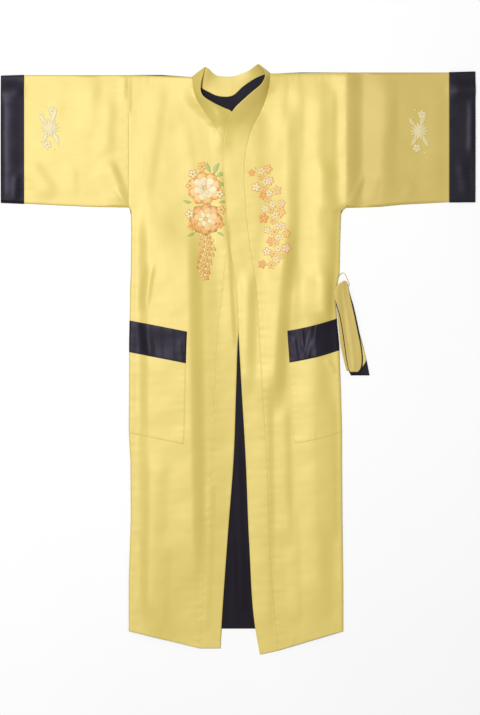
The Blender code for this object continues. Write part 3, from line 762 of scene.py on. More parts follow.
# Each ring of a stitch: its place along it, its thickness and its depth
STITCH_RINGS = ((-1, 0.45, -1.3), (-0.6, 0.95, -0.2), (0, 1, 0.1), (0.6, 0.95, -0.2), (1, 0.45, -1.3))
SIDES_ROUND = 5
STITCH_POINTS = SIDES_ROUND * len(STITCH_RINGS)
stitch_numbers = np.arange(STITCH_POINTS).reshape(-1, SIDES_ROUND)
STITCH_FACES = grid_faces(looped(stitch_numbers))
gold_stitches, dark_stitches = [], []


def stitch_line(into, path):
    """Short lengths of thread along a path, each round and sunk into the cloth at both ends."""
    length = running_length(path)
    count = int(length[-1] / STITCH_PITCH)
    at = (np.arange(count) + 0.5) * length[-1] / count
    place, ahead, behind = (
        np.stack([np.interp(at + move, length, path[:, axis]) for axis in range(3)], axis=1)
        for move in (0, STITCH_LENGTH / 2, -STITCH_LENGTH / 2)
    )
    run = unit(ahead - behind)
    side = unit(np.stack([-run[:, 1], run[:, 0], np.zeros(count)], axis=1))
    up = upward(np.cross(run, side))
    rings = []
    for along, fat, deep in STITCH_RINGS:
        centre = place + run * along * STITCH_LENGTH / 2 + up * deep * STITCH_RADIUS
        for k in range(SIDES_ROUND):
            turn = 2 * pi * k / SIDES_ROUND
            rings.append(centre + (side * cos(turn) + up * sin(turn)) * fat * STITCH_RADIUS)
    into.append(np.stack(rings, axis=1))


def stitch_mesh(lines, first=0):
    """Points and faces of all the stitches of some lines; first is the number of the first point."""
    stitches = np.concatenate(lines)
    base = first + np.arange(len(stitches))[:, None, None] * STITCH_POINTS
    return stitches.reshape(-1, 3), (base + STITCH_FACES[None]).reshape(-1, 4)


# Panels

def top_shift(y_row, side):
    """How far the uppermost rows move, at the side and at the neck, to end on the shoulder seam."""
    band = RIGHT_BAND if side < 0 else LEFT_BAND
    share = np.clip((y_row - SHOULDER_BLEND_Y) / (RIGHT_SHOULDER_Y - SHOULDER_BLEND_Y), 0, 1)
    at_side = shoulder_y(side) - RIGHT_SHOULDER_Y
    at_neck = band[0].seam_y - (RIGHT_SHOULDER_Y - sag(RIGHT_SHOULDER_Y, side))
    return share * at_side, share * at_neck


def sag(y_row, side):
    """How much lower a row of the front is at the neckband than at the side seam."""
    top = shoulder_y(side)
    up = np.clip((y_row - SAG_FULL_Y) / (top - SAG_FULL_Y), 0, 1)
    return (RIGHT_FRONT_SAG if side < 0 else LEFT_FRONT_SAG) * (1 - up**1.6)


def front_point(y_row, share, side):
    """Plan point of a front: y_row runs from shoulder to hem, share from side seam to neckband seam."""
    band = RIGHT_BAND if side < 0 else LEFT_BAND
    lift_side, lift_neck = top_shift(y_row, side)
    away = (y_row - HITCH_Y) / HITCH_REACH
    hitch = LEFT_HITCH * np.exp(-away * away) if side > 0 else 0
    y_side = y_row + hitch + lift_side
    y_seam = y_row - sag(y_row, side) + lift_neck
    x_seam = curve(y_seam, column(band, "seam_y"), column(band, "seam_x")) - side * TUCK
    x_side = side_x(y_side, side) + side * TUCK * (1 - edge_pull(y_side))
    return x_side + (x_seam - x_side) * share, y_side + (y_seam - y_side) * share


def front_width(y_row, side):
    x0, y0 = front_point(y_row, 0.0, side)
    x1, y1 = front_point(y_row, 1.0, side)
    return np.hypot(x1 - x0, y1 - y0)


def front_grid(side, pitch, first=RIGHT_SHOULDER_Y, last=HEM_Y, most=1.0):
    """Rows, shares and plan of a front or of part of it, close together near its edges."""
    rows = first - dense(first - last, pitch)
    width = float(front_width(np.array(0.0), side)) * most
    shares = dense(width, pitch) / width * most
    y_row, share = np.meshgrid(rows, shares, indexing="ij")
    x, y = front_point(y_row, share, side)
    return y_row, share, np.stack([x, y], axis=2)


def edge_pull(y):
    """Where side seams draw the layers together: all along the body below the arm, and not at the armhole."""
    return 1 - smooth_step(ARMPIT_Y - 0.010, ARMPIT_Y + 0.012, y)


def pucker(along, from_seam, reach, wavelength, height, seed):
    """Small gathers that run across a seam and die away from it."""
    phase = 2 * pi * along / wavelength
    wobble = 0.6 * np.sin(phase / 3.7 + seed) + 0.4 * np.sin(phase / 1.9)
    waves = np.sin(phase + 1.3 * wobble + seed)
    return height * waves * (0.45 + 0.55 * wobble) * np.exp(-from_seam / reach)


def front_height(y_row, share, x, y, side, layer_z, edge_z, hem_z):
    """Height of a front layer's middle: its folds, with its edges drawn in to the layers it is sewn to."""
    width = front_width(y_row, side)
    from_side = share * width
    from_band = (1 - share) * width
    from_hem = y_row - HEM_Y
    from_top = RIGHT_SHOULDER_Y - y_row
    z = np.full(x.shape, layer_z)
    pull = round_edge(from_side, 0.0045) * edge_pull(y)
    pull = np.maximum(pull, round_edge(from_top, 0.0055))
    z = z + (edge_z - z) * pull
    hem = round_edge(from_hem, 0.0035)
    z = z + (hem_z - z) * hem
    z = z - 0.00012 * soft_edge(from_band, 0.0020)
    z = z - 0.0004 * soft_edge(from_side, 0.0040) * (1 - edge_pull(y))
    z = z + fine_drape(x, y, side) * (1 - 0.75 * pull)
    z = z + pucker(y, from_band, 0.016, 0.021, 0.00034, 1 + side)
    z = z + pucker(y, from_side, 0.014, 0.027, 0.00026, 3 + side) * smooth_step(0.0, 0.006, from_side)
    z = z + pucker(x, from_hem, 0.016, 0.031, 0.00030, 5 + side) * smooth_step(0.0, 0.005, from_hem)
    z = z + pucker(x, from_top, 0.012, 0.018, 0.00030, 2 - side) * smooth_step(0.0, 0.005, from_top)
    return z


def on_front(side, y_row, share):
    """Points just above a front's outer face, at given rows and shares."""
    y_row, share = np.broadcast_arrays(np.asarray(y_row, float), np.asarray(share, float))
    x, y = front_point(y_row, share, side)
    z = front_height(y_row, share, x, y, side, FRONT_Z, *FRONT_EDGES)
    return np.stack([x, y, z + CLOTH / 2 + STITCH_LIFT], axis=1)


def make_front(side, name):
    """A front, its hem stitches and its lining."""
    y_row, share, plan = front_grid(side, FRONT_PITCH)
    z = front_height(y_row, share, plan[..., 0], plan[..., 1], side, FRONT_Z, *FRONT_EDGES)
    thing = level_sheet(f"front_{name}_cloth", plan, z, CLOTH, gold, dark_inside)
    declare(thing, *FRONT_FLAT, plan_area(plan))
    stitch_line(gold_stitches, on_front(side, HEM_Y + HEM_DEPTH, np.linspace(0.012, 0.985, 60)))
    y_row, share, plan = front_grid(side, FRONT_LINING_PITCH)
    z = front_height(y_row, share, plan[..., 0], plan[..., 1], side, FRONT_LINING_Z, *FRONT_LINING_EDGES)
    thing = level_sheet(f"front_{name}_lining_cloth", plan, z, CLOTH, dark)
    declare(thing, *FRONT_FLAT, plan_area(plan))


def pocket_share(side):
    return RIGHT_POCKET_SHARE if side < 0 else LEFT_POCKET_SHARE


def pocket_row(side, y_row, share):
    """The row of the front that a pocket's row lies on: the left pocket curves up towards both its sides."""
    bend = LEFT_POCKET_BEND if side > 0 else 0
    return y_row + bend * (share / pocket_share(side) - 0.42) ** 2


def pocket_height(y_row, share, x, y, side, rise, first, last, opening):
    """A patch pocket on the front: its inner and lower edges are sewn down, its side is in the seam."""
    width = front_width(y_row, side)
    base = front_height(pocket_row(side, y_row, share), share, x, y, side, FRONT_Z, *FRONT_EDGES)
    most = pocket_share(side)
    from_inner = (most - share) * width
    down = round_edge(from_inner, 0.0044)
    if opening:
        from_top = first - y_row
        gape = 0.0011 * np.exp(-((from_top / 0.020) ** 2)) * np.sin(pi * np.clip(share / most, 0, 1)) ** 0.8
        gape = gape + fold_height(x, y, POCKET_BAND_CREASES)
        down_top = 0.45 * round_edge(from_top, 0.0015)
    else:
        gape = 0
        down_top = 0 * share
    down_low = round_edge(y_row - last, 0.0044) * (0.25 if opening else 1.0)
    lift = (rise + gape) * (1 - 0.62 * np.maximum(np.maximum(down, down_top), down_low))
    side_pull = 1 - 0.7 * round_edge(share * width, 0.0040)
    small = pucker(y, from_inner, 0.012, 0.017, 0.00022, 7 + side)
    small = small + pucker(x, y_row - last, 0.012, 0.019, 0.00022, 9 + side)
    return base + lift * side_pull + small


def make_pocket(side, name):
    """A pocket and its dark band, with their stitch lines."""
    for part, first, last, rise, material, opening in (
        ("pocket_band", POCKET_TOP_Y, POCKET_BAND_Y + 0.0001, POCKET_BAND_RISE, dark, True),
        ("pocket", POCKET_BAND_Y, POCKET_BOTTOM_Y, POCKET_RISE, gold, False),
    ):
        y_row, share, _ = front_grid(side, POCKET_PITCH, first, last, pocket_share(side))
        plan = np.stack(front_point(pocket_row(side, y_row, share), share, side), axis=2)
        z = pocket_height(y_row, share, plan[..., 0], plan[..., 1], side, rise, first, last, opening)
        thickness = POCKET_BAND_CLOTH if opening else CLOTH
        thing = level_sheet(f"{part}_{name}_cloth", plan, z, thickness, material)
        declare(thing, POCKET_FLAT_WIDTH, first - last + POCKET_TURNED_IN, plan_area(plan))
        inner = pocket_share(side) - POCKET_STITCH_IN / float(front_width(np.array(0.0), side))
        down = np.linspace(first - 0.002, last + 0.0025, 60)
        across = np.linspace(0.015, inner, 40)
        lines = [(down, np.full(60, inner)), (np.full(40, last + POCKET_STITCH_IN), across)]
        if opening:
            lines.insert(1, (np.full(40, first - POCKET_STITCH_IN), across))
        for rows, shares in lines:
            x, y = front_point(pocket_row(side, rows, shares), shares, side)
            z = pocket_height(rows, shares, x, y, side, rise, first, last, opening)
            path = np.stack([x, y, z + thickness / 2 + STITCH_LIFT], axis=1)
            stitch_line(dark_stitches if opening else gold_stitches, path)


def neck_path(side):
    """Rows of the neckline from just past mid back, so that both halves meet smoothly, to the shoulder."""
    own, other = (RIGHT_NECK, LEFT_NECK) if side < 0 else (LEFT_NECK, RIGHT_NECK)
    return other[1:2] + own + (RIGHT_BAND if side < 0 else LEFT_BAND)[:1]


def back_top(side, along):
    """Points of the back's neckline at places 0 to 1 from mid back to the shoulder."""
    path = neck_path(side)
    at = 1 + along * (len(path) - 2)
    return (
        curve(at, range(len(path)), column(path, "seam_x")),
        curve(at, range(len(path)), column(path, "seam_y")),
    )


def back_grid(pitch, inset=0.0):
    """Plan of the back, from the neckline and shoulders down to a straight hem."""
    x_right, y_right = back_top(-1, np.linspace(1, 0, 26))
    x_left, y_left = back_top(1, np.linspace(0, 1, 26)[1:])
    neck_x, neck_y = np.concatenate([x_right, x_left]), np.concatenate([y_right, y_left])
    right = -ARMHOLE_X + dense(ARMHOLE_X + neck_x[0], pitch)[:-1]
    left = neck_x[-1] + dense(ARMHOLE_X - neck_x[-1], pitch)[1:]
    top_x = np.concatenate([right, neck_x, left])
    right_y, left_y = RIGHT_SHOULDER_Y, LEFT_SHOULDER_Y
    right_top = np.interp(right, [-ARMHOLE_X, -0.185, neck_x[0]], [right_y, right_y, neck_y[0]])
    left_top = np.interp(left, [neck_x[-1], 0.152, ARMHOLE_X], [neck_y[-1], left_y, left_y])
    top_y = np.concatenate([right_top, neck_y, left_top])
    share = (top_x + ARMHOLE_X) / (2 * ARMHOLE_X)
    down = dense(BACK_LENGTH, pitch * 1.6) / BACK_LENGTH
    y = top_y[None, :] + (BACK_HEM_Y - top_y[None, :]) * down[:, None]
    level = LEFT_SHOULDER_Y + (BACK_HEM_Y - LEFT_SHOULDER_Y) * down[:, None]
    right_x, left_x = side_x(level, -1) + inset, side_x(level, 1) - inset
    x = right_x + (left_x - right_x) * share[None, :]
    return np.stack([x, y], axis=2), down


def back_height(plan, down, layer_z, edge_z, hem_z):
    """Height of a back layer's middle, drawn in at the side seams, the shoulders and the hem."""
    x, y = plan[..., 0], plan[..., 1]
    from_side = np.minimum(x - side_x(y, -1), side_x(y, 1) - x)
    from_top = down[:, None] * BACK_LENGTH
    from_hem = (1 - down[:, None]) * BACK_LENGTH
    shoulder = smooth_step(0.100, 0.112, abs(x + 0.016))
    pull = round_edge(from_side, 0.0040) * edge_pull(y)
    pull = np.maximum(pull, round_edge(from_top, 0.0045) * shoulder)
    z = layer_z + (edge_z - layer_z) * pull
    return z + (hem_z - z) * round_edge(from_hem, 0.0030)


plan, down = back_grid(BACK_PITCH)
z = back_height(plan, down, BACK_FLOOR + CLOTH / 2, *BACK_EDGES)
back = level_sheet("back_cloth", plan, z, CLOTH, gold_back, gold_back)
declare(back, *BACK_FLAT, plan_area(plan))
plan, down = back_grid(BACK_LINING_PITCH, BACK_LINING_INSET)
lining_z = BACK_LINING_Z - BACK_LINING_DROP
z = back_height(plan, down, lining_z, *BACK_LINING_EDGES)
soft = smooth_step(0.0, 0.05, (1 - down[:, None])) * smooth_step(0.0, 0.03, down[:, None])
LINING_CREASES = rows_of(
    Fold,
    (0.000, -0.180, 0.012, -0.600, 0.012, 0.010, 0.0006),
    (-0.012, -0.420, -0.004, -0.640, 0.010, 0.008, 0.0005),
    (-0.060, 0.632, -0.010, 0.602, 0.009, 0.009, 0.0008),
    (0.050, 0.662, 0.000, 0.618, 0.008, 0.008, 0.0007),
    (-0.070, 0.700, -0.100, 0.560, 0.010, 0.110, 0.0018),
)
z = z + soft * fold_height(plan[..., 0], plan[..., 1], LINING_CREASES)
# The back lining takes the darker copy of the dark satin, which is painted shade
lining = level_sheet("back_lining_cloth", plan, z, CLOTH, dark_lining_shaded)
declare(lining, *BACK_FLAT, plan_area(plan))
make_front(-1, "right")
make_front(1, "left")
make_pocket(-1, "right")
make_pocket(1, "left")


# Neckband

def band_stations(side, pitch):
    """Rows of seam, rim and rise along the half band, how far each has turned over, and its place."""
    path = neck_path(side)
    at = 1 + (len(path) - 2) * np.concatenate([[0, 0.002, 0.006, 0.014], np.linspace(0.03, 1, 33)])
    back_rows = np.stack([curve(at, range(len(path)), column(path, f)) for f in Band._fields], axis=1)
    band = RIGHT_BAND if side < 0 else LEFT_BAND
    upper_rows = np.linspace(RIGHT_SHOULDER_Y, 0.560, 42)[1:]
    rows = np.concatenate([upper_rows, np.arange(0.556, HEM_Y, -pitch), [HEM_Y]])
    keys = column(band, "seam_y")
    y_seam = rows - sag(rows, side) + top_shift(rows, side)[1]
    front_rows = np.stack([curve(y_seam, keys, column(band, f)) for f in Band._fields], axis=1)
    front_rows[:, 1] = y_seam
    rows_all = np.concatenate([back_rows, front_rows])
    length = running_length(rows_all[:, :2])
    length -= length[len(back_rows) - 1]
    turned = smooth_step(-0.020, 0.014, length)
    return rows_all, turned, length


def band_middle(side, pitch, shares):
    """Points in the middle of the band's thickness; shares run from its seam to its rim."""
    rows, turned, length = band_stations(side, pitch)
    seam, rim = rows[:, None, 0:2], rows[:, None, 2:4]
    plan = seam + (rim - seam) * shares[None, :, None]
    x, y = plan[..., 0], plan[..., 1]
    steep = np.clip(rows[:, 4] / RIGHT_BAND[0].rise, 0, 1) * (turned > 0.3)
    x = x - side * steep[:, None] * NECK_TUCK * (1 - shares[None, :])
    on_front = BAND_FRONT_Z + fine_drape(x, y, side)
    z = BAND_BACK_Z + (on_front - BAND_BACK_Z) * turned[:, None]
    z = z + rows[:, 4][:, None] * (shares * (1.3 - 0.3 * shares))[None, :]
    return np.stack([x, y, z], axis=2), length


def make_band(side, name):
    """Half of the neckband, with a line of stitches along its seam and its rim."""
    inside = np.linspace(0.09, 0.91, 12)
    shares = np.unique(np.concatenate([[0, 0.012, 0.03, 0.055], inside, [0.94, 0.965, 0.985, 1]]))
    middle, length = band_middle(side, BAND_PITCH, shares)
    middle[0, :, 0] -= side * 0.0002
    out = normals(middle)
    out *= np.where(out[len(out) // 2 :, :, 2].mean() < 0, -1, 1)
    from_seam, from_rim = shares * BAND_WIDTH, (1 - shares) * BAND_WIDTH
    half = BAND_CLOTH / 2 * (1 - 0.36 * round_edge(from_seam, 0.0016) - 0.80 * round_edge(from_rim, 0.0016))
    ease = pucker(length[:, None], from_seam[None, :], 0.012, 0.023, 0.00028, 4 + side)
    ease = ease + pucker(length[:, None], from_rim[None, :], 0.010, 0.034, 0.00022, 8 + side)
    soft = 0.00016 * np.sin(pi * shares)[None, :]
    ease = ease * smooth_step(0, 0.040, length - length[0])[:, None]
    upper = middle + out * (half[None, :, None] + (ease + soft)[..., None])
    lower = middle - out * half[None, :, None]
    uv = np.stack(np.broadcast_arrays(from_seam[None, :], length[:, None]), axis=2)
    thing = shell(f"neckband_{name}_cloth", upper, lower, gold, uv)
    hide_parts(f"neckband_{name}")
    declare(thing, BAND_FLAT_WIDTH, float(length[-1] - length[0]))
    up = upward(out)
    for share in (0.055, 0.940):
        k = int(np.argmin(abs(shares - share)))
        face = upper if out[len(out) // 2, k, 2] > 0 else lower
        stitch_line(gold_stitches, face[30:, k] + up[30:, k] * STITCH_LIFT)


make_band(-1, "right")
make_band(1, "left")


# Sleeves and cuffs

def sleeve_folds(x, y, share):
    """Height that the folds add to a sleeve's upper side; share runs from its lower to its upper edge."""
    wave = ripple(x, y, 11, 0.070, 0.00018) + ripple(x, y, 13, 0.028, 0.00005)
    wave = wave * smooth_step(0, 0.1, share) * smooth_step(0, 0.1, 1 - share)
    return fold_height(x, y, SLEEVE_FOLDS + SLEEVE_CREASES) + wave


def sleeve_edges(side, x_out):
    """The upper and the lower edge of a sleeve, so far out from the middle of the robe."""
    table = RIGHT_SLEEVE if side < 0 else LEFT_SLEEVE
    return (np.interp(x_out, column(table, "x"), column(table, edge)) for edge in ("top", "bottom"))


def sleeve_surface(side):
    """A function that gives the height of a sleeve's upper side at a point."""

    def surface(x, y):
        top, bottom = sleeve_edges(side, abs(x))
        share = np.clip((y - bottom) / (top - bottom), 0, 1)
        return SLEEVE_HEIGHT + SLEEVE_PUFF * np.sin(pi * share) + sleeve_folds(x, y, share)

    return surface


def ring_path(side, x_out, proud=0):
    """A flattened ring round the arm: over, round the upper fold, back under, round the lower fold."""
    height = SLEEVE_HEIGHT + proud
    top, bottom = sleeve_edges(side, x_out)
    top, bottom = top + proud, bottom - proud
    edge = height / 2
    span = top - bottom - 2 * edge
    share = np.linspace(0, 1, RING_ACROSS)
    y_over = bottom + edge + span * share
    puff = SLEEVE_PUFF * np.sin(pi * share)
    x = side * x_out
    z_over = height + puff + sleeve_folds(x, y_over, share)
    over = np.stack([np.full_like(share, x), y_over, z_over], axis=1)
    turn = np.linspace(pi / 2, -pi / 2, RING_TURN)[1:-1]
    y_fold, z_fold = top - edge + edge * np.cos(turn), edge + edge * np.sin(turn)
    upper_fold = np.stack([np.full_like(turn, x), y_fold, z_fold], axis=1)
    under = np.stack([np.full_like(share, x), y_over[::-1], np.zeros_like(share)], axis=1)
    lower_fold = upper_fold[::-1].copy()
    lower_fold[:, 1] = bottom + edge - edge * np.cos(turn[::-1])
    return np.concatenate([over, upper_fold, under, lower_fold])


def ring_inward(rings):
    """Unit normals of the rings, towards the hollow, worked out in each ring's own plane."""
    ahead = np.roll(rings, -1, axis=1) - np.roll(rings, 1, axis=1)
    inward = np.stack([np.zeros(rings.shape[:2]), ahead[..., 2], -ahead[..., 1]], axis=2)
    return unit(inward)


def ring_length(rings):
    """Distance round each ring at each of its points, and each ring's whole length."""
    step = np.linalg.norm(np.diff(rings, axis=1, append=rings[:, :1]), axis=2)
    around = np.cumsum(step, axis=1)
    return np.concatenate([np.zeros((len(rings), 1)), around[:, :-1]], axis=1), step.sum(axis=1)


def cuff_seam_x(side):
    return RIGHT_CUFF_SEAM_X if side < 0 else LEFT_CUFF_SEAM_X


def make_sleeve(side, name):
    """A sleeve and its cuff."""
    # The left sleeve takes the darker copy of the gold, painted shade for its turned weave's weaker sheen
    cloth = gold if side < 0 else gold_turned_shaded
    seam = cuff_seam_x(side)
    first, last = ARMHOLE_X + 0.0001, seam
    stations = first + dense(last - first, SLEEVE_PITCH)
    rings = np.array([ring_path(side, x) for x in stations])
    rings[..., 2] = np.maximum(rings[..., 2] - SLEEVE_DROP * (rings[..., 2] > 0.002), 0)
    from_armhole, from_cuff = (stations - first)[:, None], (last - stations)[:, None]
    over = rings[..., 2] > UPPER_SIDE_Z
    ease = pucker(rings[..., 1], from_cuff, 0.014, 0.019, 0.00036, 3 + side)
    ease = ease + pucker(rings[..., 1], from_armhole, 0.016, 0.024, 0.00034, 6 + side)
    dip = 0.0002 * soft_edge(from_armhole, 0.0040) + 0.0003 * soft_edge(from_cuff, 0.0030)
    away = smooth_step(0, 0.006, np.minimum(from_armhole, from_cuff))
    rings[..., 2] += np.where(over, ease * away - dip, 0)
    inward = ring_inward(rings)
    inner = rings + inward * CLOTH
    around, total = ring_length(rings)
    uv = np.stack([around, np.broadcast_to(stations[:, None], around.shape)], axis=2)
    thing = tube_shell(f"sleeve_{name}_cloth", rings, inner, cloth, uv, dark_inside)
    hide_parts(f"sleeve_{name}")
    declare(thing, float(last - first), float(total.mean()))
    stations = seam + 0.0001 + dense(CUFF_END_X - seam - 0.0001, CUFF_PITCH)
    rings = np.array([ring_path(side, x, CUFF_PROUD) for x in stations])
    from_seam, from_end = (stations - stations[0])[:, None], (stations[-1] - stations)[:, None]
    inward = ring_inward(rings)
    thin = 0.0004 * round_edge(from_seam, 0.0020) + 0.0006 * round_edge(from_end, 0.0016)
    over = rings[..., 2] > UPPER_SIDE_Z
    ease = pucker(rings[..., 1], from_seam, 0.012, 0.022, 0.00026, 5 + side)
    ease = ease + pucker(rings[..., 1], from_end, 0.012, 0.030, 0.00026, 8 + side)
    outer = rings + inward * thin[..., None]
    outer[..., 2] += np.where(over, ease, 0)
    inner = rings + inward * (CUFF_CLOTH - thin)[..., None]
    inner[..., 2] += np.where(over, ease, 0)
    around, total = ring_length(rings)
    uv = np.stack([around, np.broadcast_to(stations[:, None], around.shape)], axis=2)
    thing = tube_shell(f"cuff_{name}_cloth", outer, inner, dark, uv, dark)
    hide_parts(f"cuff_{name}")
    declare(thing, CUFF_END_X - seam, float(total.mean()))


make_sleeve(-1, "right")
make_sleeve(1, "left")
for side in (-1, 1):
    y = np.linspace(0.386, 0.678, 60)
    for x, into, above in (
        (cuff_seam_x(side) - SLEEVE_STITCH_IN, gold_stitches, 0),
        (CUFF_END_X - CUFF_STITCH_IN, dark_stitches, CUFF_PROUD),
    ):
        z = sleeve_surface(side)(np.full(60, side * x), y) + above + STITCH_LIFT
        stitch_line(into, np.stack([np.full(60, side * x), y, z], axis=1))


# Embroidery: flowers and leaves of the builder's own drawing, in satin stitch

THREAD_COLOURS = {
    "orange": (0.840, 0.370, 0.060),
    "peach": (0.850, 0.540, 0.150),
    "ivory": (0.840, 0.740, 0.400),
    "blush": (0.830, 0.630, 0.370),
    "green": (0.380, 0.470, 0.090),
    "brown": (0.560, 0.310, 0.050),
    "pale": (0.690, 0.580, 0.240),
    "cream": (0.760, 0.650, 0.330),
}
THREADS = {
    name: thread(f"thread_{name}", colour, tuple(c * 0.82 for c in colour))
    for name, colour in THREAD_COLOURS.items()
}
SMALL_PATCH = 0.014
SUNK = 0.0001
EDGE_RISE = 0.00025
PETAL_RISE = 0.00045
KNOT_RISE = 0.0005
LEAF_RISE = 0.00035
LEAF_BEND = 0.3


class Embroidery:
    """Raised satin-stitch patches on one surface, gathered into one mesh; direction is -1 on an underside."""

    def __init__(self, name, surface, direction=1, lift=0.00012):
        self.name, self.surface, self.direction, self.lift = name, surface, direction, lift
        self.points, self.faces, self.colours = [], [], []

    def count(self):
        return sum(len(p) for p in self.points)

    def add(self, colour, points, faces):
        self.points.append(points)
        self.faces.append(faces)
        self.colours += [colour] * len(faces)

    def patch(self, colour, x, y, turn, length, width, height, blunt=0.7, bend=0.0, above=0.0):
        """A domed petal or leaf with ridges of thread, from a point outwards along a direction."""
        rows, columns = (9, 11) if length > SMALL_PATCH else (7, 9)
        t = np.linspace(0, 1, rows)[:, None]
        s = np.linspace(-1, 1, columns)[None, :]
        half = width / 2 * np.maximum(np.sin(pi * t**0.85) ** blunt, 0.06)
        out = t * length
        aside = s * half + bend * length * t * (1 - t)
        px = x + out * cos(turn) - aside * sin(turn)
        py = y + out * sin(turn) + aside * cos(turn)
        ridge = 1 + 0.16 * np.where(np.arange(columns) % 2, 1, -1)[None, :]
        dome = height * np.sqrt(np.clip(1 - s * s, 0, 1)) * np.sin(pi * np.clip(t, 0.03, 0.97)) ** 0.4 * ridge
        base = self.surface(px, py)
        top = base + self.direction * (self.lift + above + dome)
        low = base - self.direction * SUNK
        number = self.count() + np.arange(rows * columns).reshape(rows, columns)
        under = number + rows * columns
        rim = rim_of(number)
        below = rim + rows * columns
        sides = np.stack([rim[1:], rim[:-1], below[:-1], below[1:]], axis=-1)
        faces = np.concatenate([grid_faces(number), grid_faces(under)[:, ::-1], sides])
        if self.direction > 0:
            faces = faces[:, ::-1]
        self.add(colour, np.stack([[px, py, top], [px, py, low]]).transpose(0, 2, 3, 1).reshape(-1, 3), faces)

    def knot(self, colour, x, y, size, above=0.0):
        self.patch(colour, x - size / 2, y, 0.0, size, size, KNOT_RISE, 0.5, 0.0, above)

    def stem(self, colour, path):
        """A line of stitches through a few points."""
        at = np.linspace(0, len(path) - 1, 12 * len(path))
        x, y = (curve(at, range(len(path)), [p[axis] for p in path]) for axis in range(2))
        z = self.surface(x, y) + self.direction * (self.lift + 0.0001)
        line = []
        stitch_line(line, np.stack([x, y, z], axis=1))
        self.add(colour, *stitch_mesh(line, self.count()))

    def blossom(self, x, y, size, turn, colour, edge, heart):
        """A small open flower: each petal has a lower one of the edge colour behind it."""
        for k in range(5):
            way = turn + 2 * pi * k / 5
            at_x, at_y = x + 0.12 * size * cos(way), y + 0.12 * size * sin(way)
            wide = 0.78 * size
            self.patch(edge, at_x, at_y, way, 0.94 * size, wide, EDGE_RISE, 0.5)
            self.patch(colour, at_x, at_y, way, 0.80 * size, 0.78 * wide, PETAL_RISE, 0.5)
        self.knot(heart, x, y, 0.34 * size, 0.0003)

    def peony(self, x, y, size, turn, rings, edge, heart):
        """A full flower of three rings of petals, from a list of colours from the outside in."""
        for ring, (colour, share, petals) in enumerate(zip(rings, (1.0, 0.74, 0.46), (8, 7, 5))):
            for k in range(petals):
                way = turn + 2 * pi * (k + 0.5 * (ring % 2)) / petals + 0.10 * sin(5.0 * k + ring)
                reach = size * share * (1 + 0.07 * sin(3.1 * k + 2 * ring))
                wide = reach * 0.80
                at_x, at_y = x + 0.10 * size * cos(way), y + 0.10 * size * sin(way)
                above = 0.0002 * ring
                self.patch(edge, at_x, at_y, way, reach * 0.95, wide, EDGE_RISE, 0.45, 0.0, above)
                self.patch(colour, at_x, at_y, way, reach * 0.86, 0.84 * wide, PETAL_RISE, 0.45, 0.0, above)
        for k in range(6):
            way = 2 * pi * k / 6
            self.knot(heart, x + 0.10 * size * cos(way), y + 0.10 * size * sin(way), 0.0022, 0.0008)

    def leaf(self, colour, x, y, turn, length):
        self.patch(colour, x, y, turn, length, 0.36 * length, LEAF_RISE, 0.9, LEAF_BEND)

    def link(self):
        names = sorted(set(self.colours))
        order = {name: index for index, name in enumerate(names)}
        threads = [THREADS[name] for name in names]
        thing = link(self.name, np.concatenate(self.points), np.concatenate(self.faces), threads)
        index = np.array([order[c] for c in self.colours], np.int32)
        thing.data.polygons.foreach_set("material_index", index)


def front_surface(side):
    return lambda x, y: FRONT_Z + CLOTH / 2 + fine_drape(x, y, side)


# Leaves: place, direction and length. Blossoms: place and colour
RIGHT_LEAVES = (
    (-0.058, 0.446, 1.1, 0.030), (-0.052, 0.440, 0.3, 0.026), (-0.066, 0.450, 1.9, 0.026),
    (-0.048, 0.424, -0.4, 0.022), (-0.112, 0.378, 2.9, 0.020), (-0.046, 0.378, 0.0, 0.020),
    (-0.104, 0.306, 3.6, 0.020), (-0.050, 0.306, -0.5, 0.018),
)
RIGHT_BLOSSOMS = (
    (-0.108, 0.446, "ivory"), (-0.114, 0.418, "peach"), (-0.044, 0.398, "ivory"), (-0.040, 0.360, "peach"),
    (-0.116, 0.350, "ivory"), (-0.110, 0.322, "orange"), (-0.044, 0.326, "orange"), (-0.086, 0.464, "peach"),
)
BUDS = 64
BUD_COLOURS = (("orange", "ivory"), ("brown", "peach"), ("orange", "peach"), ("brown", "orange"))
BRANCH = (
    (0.050, 0.462), (0.064, 0.430), (0.074, 0.392), (0.086, 0.350), (0.092, 0.306), (0.090, 0.262),
    (0.084, 0.228),
)
TWIGS = 18
BACK_BRANCH = (
    (0.020, 0.560), (-0.040, 0.470), (-0.010, 0.380), (0.050, 0.300), (0.020, 0.200), (-0.050, 0.110),
    (-0.030, 0.000), (0.030, -0.100), (0.000, -0.210),
)
BACK_FLOWERS = ((-0.034, 0.470, 0.050), (0.048, 0.310, 0.056), (-0.046, 0.130, 0.052), (0.024, -0.070, 0.046))
BACK_BLOSSOMS = (
    (0.040, 0.530), (0.060, 0.450), (-0.080, 0.400), (0.000, 0.390), (-0.070, 0.300), (0.100, 0.240),
    (0.010, 0.210), (-0.100, 0.210), (0.040, 0.090), (-0.090, 0.030), (0.070, 0.010), (-0.040, -0.030),
    (0.080, -0.120), (-0.030, -0.150), (0.010, -0.200),
)


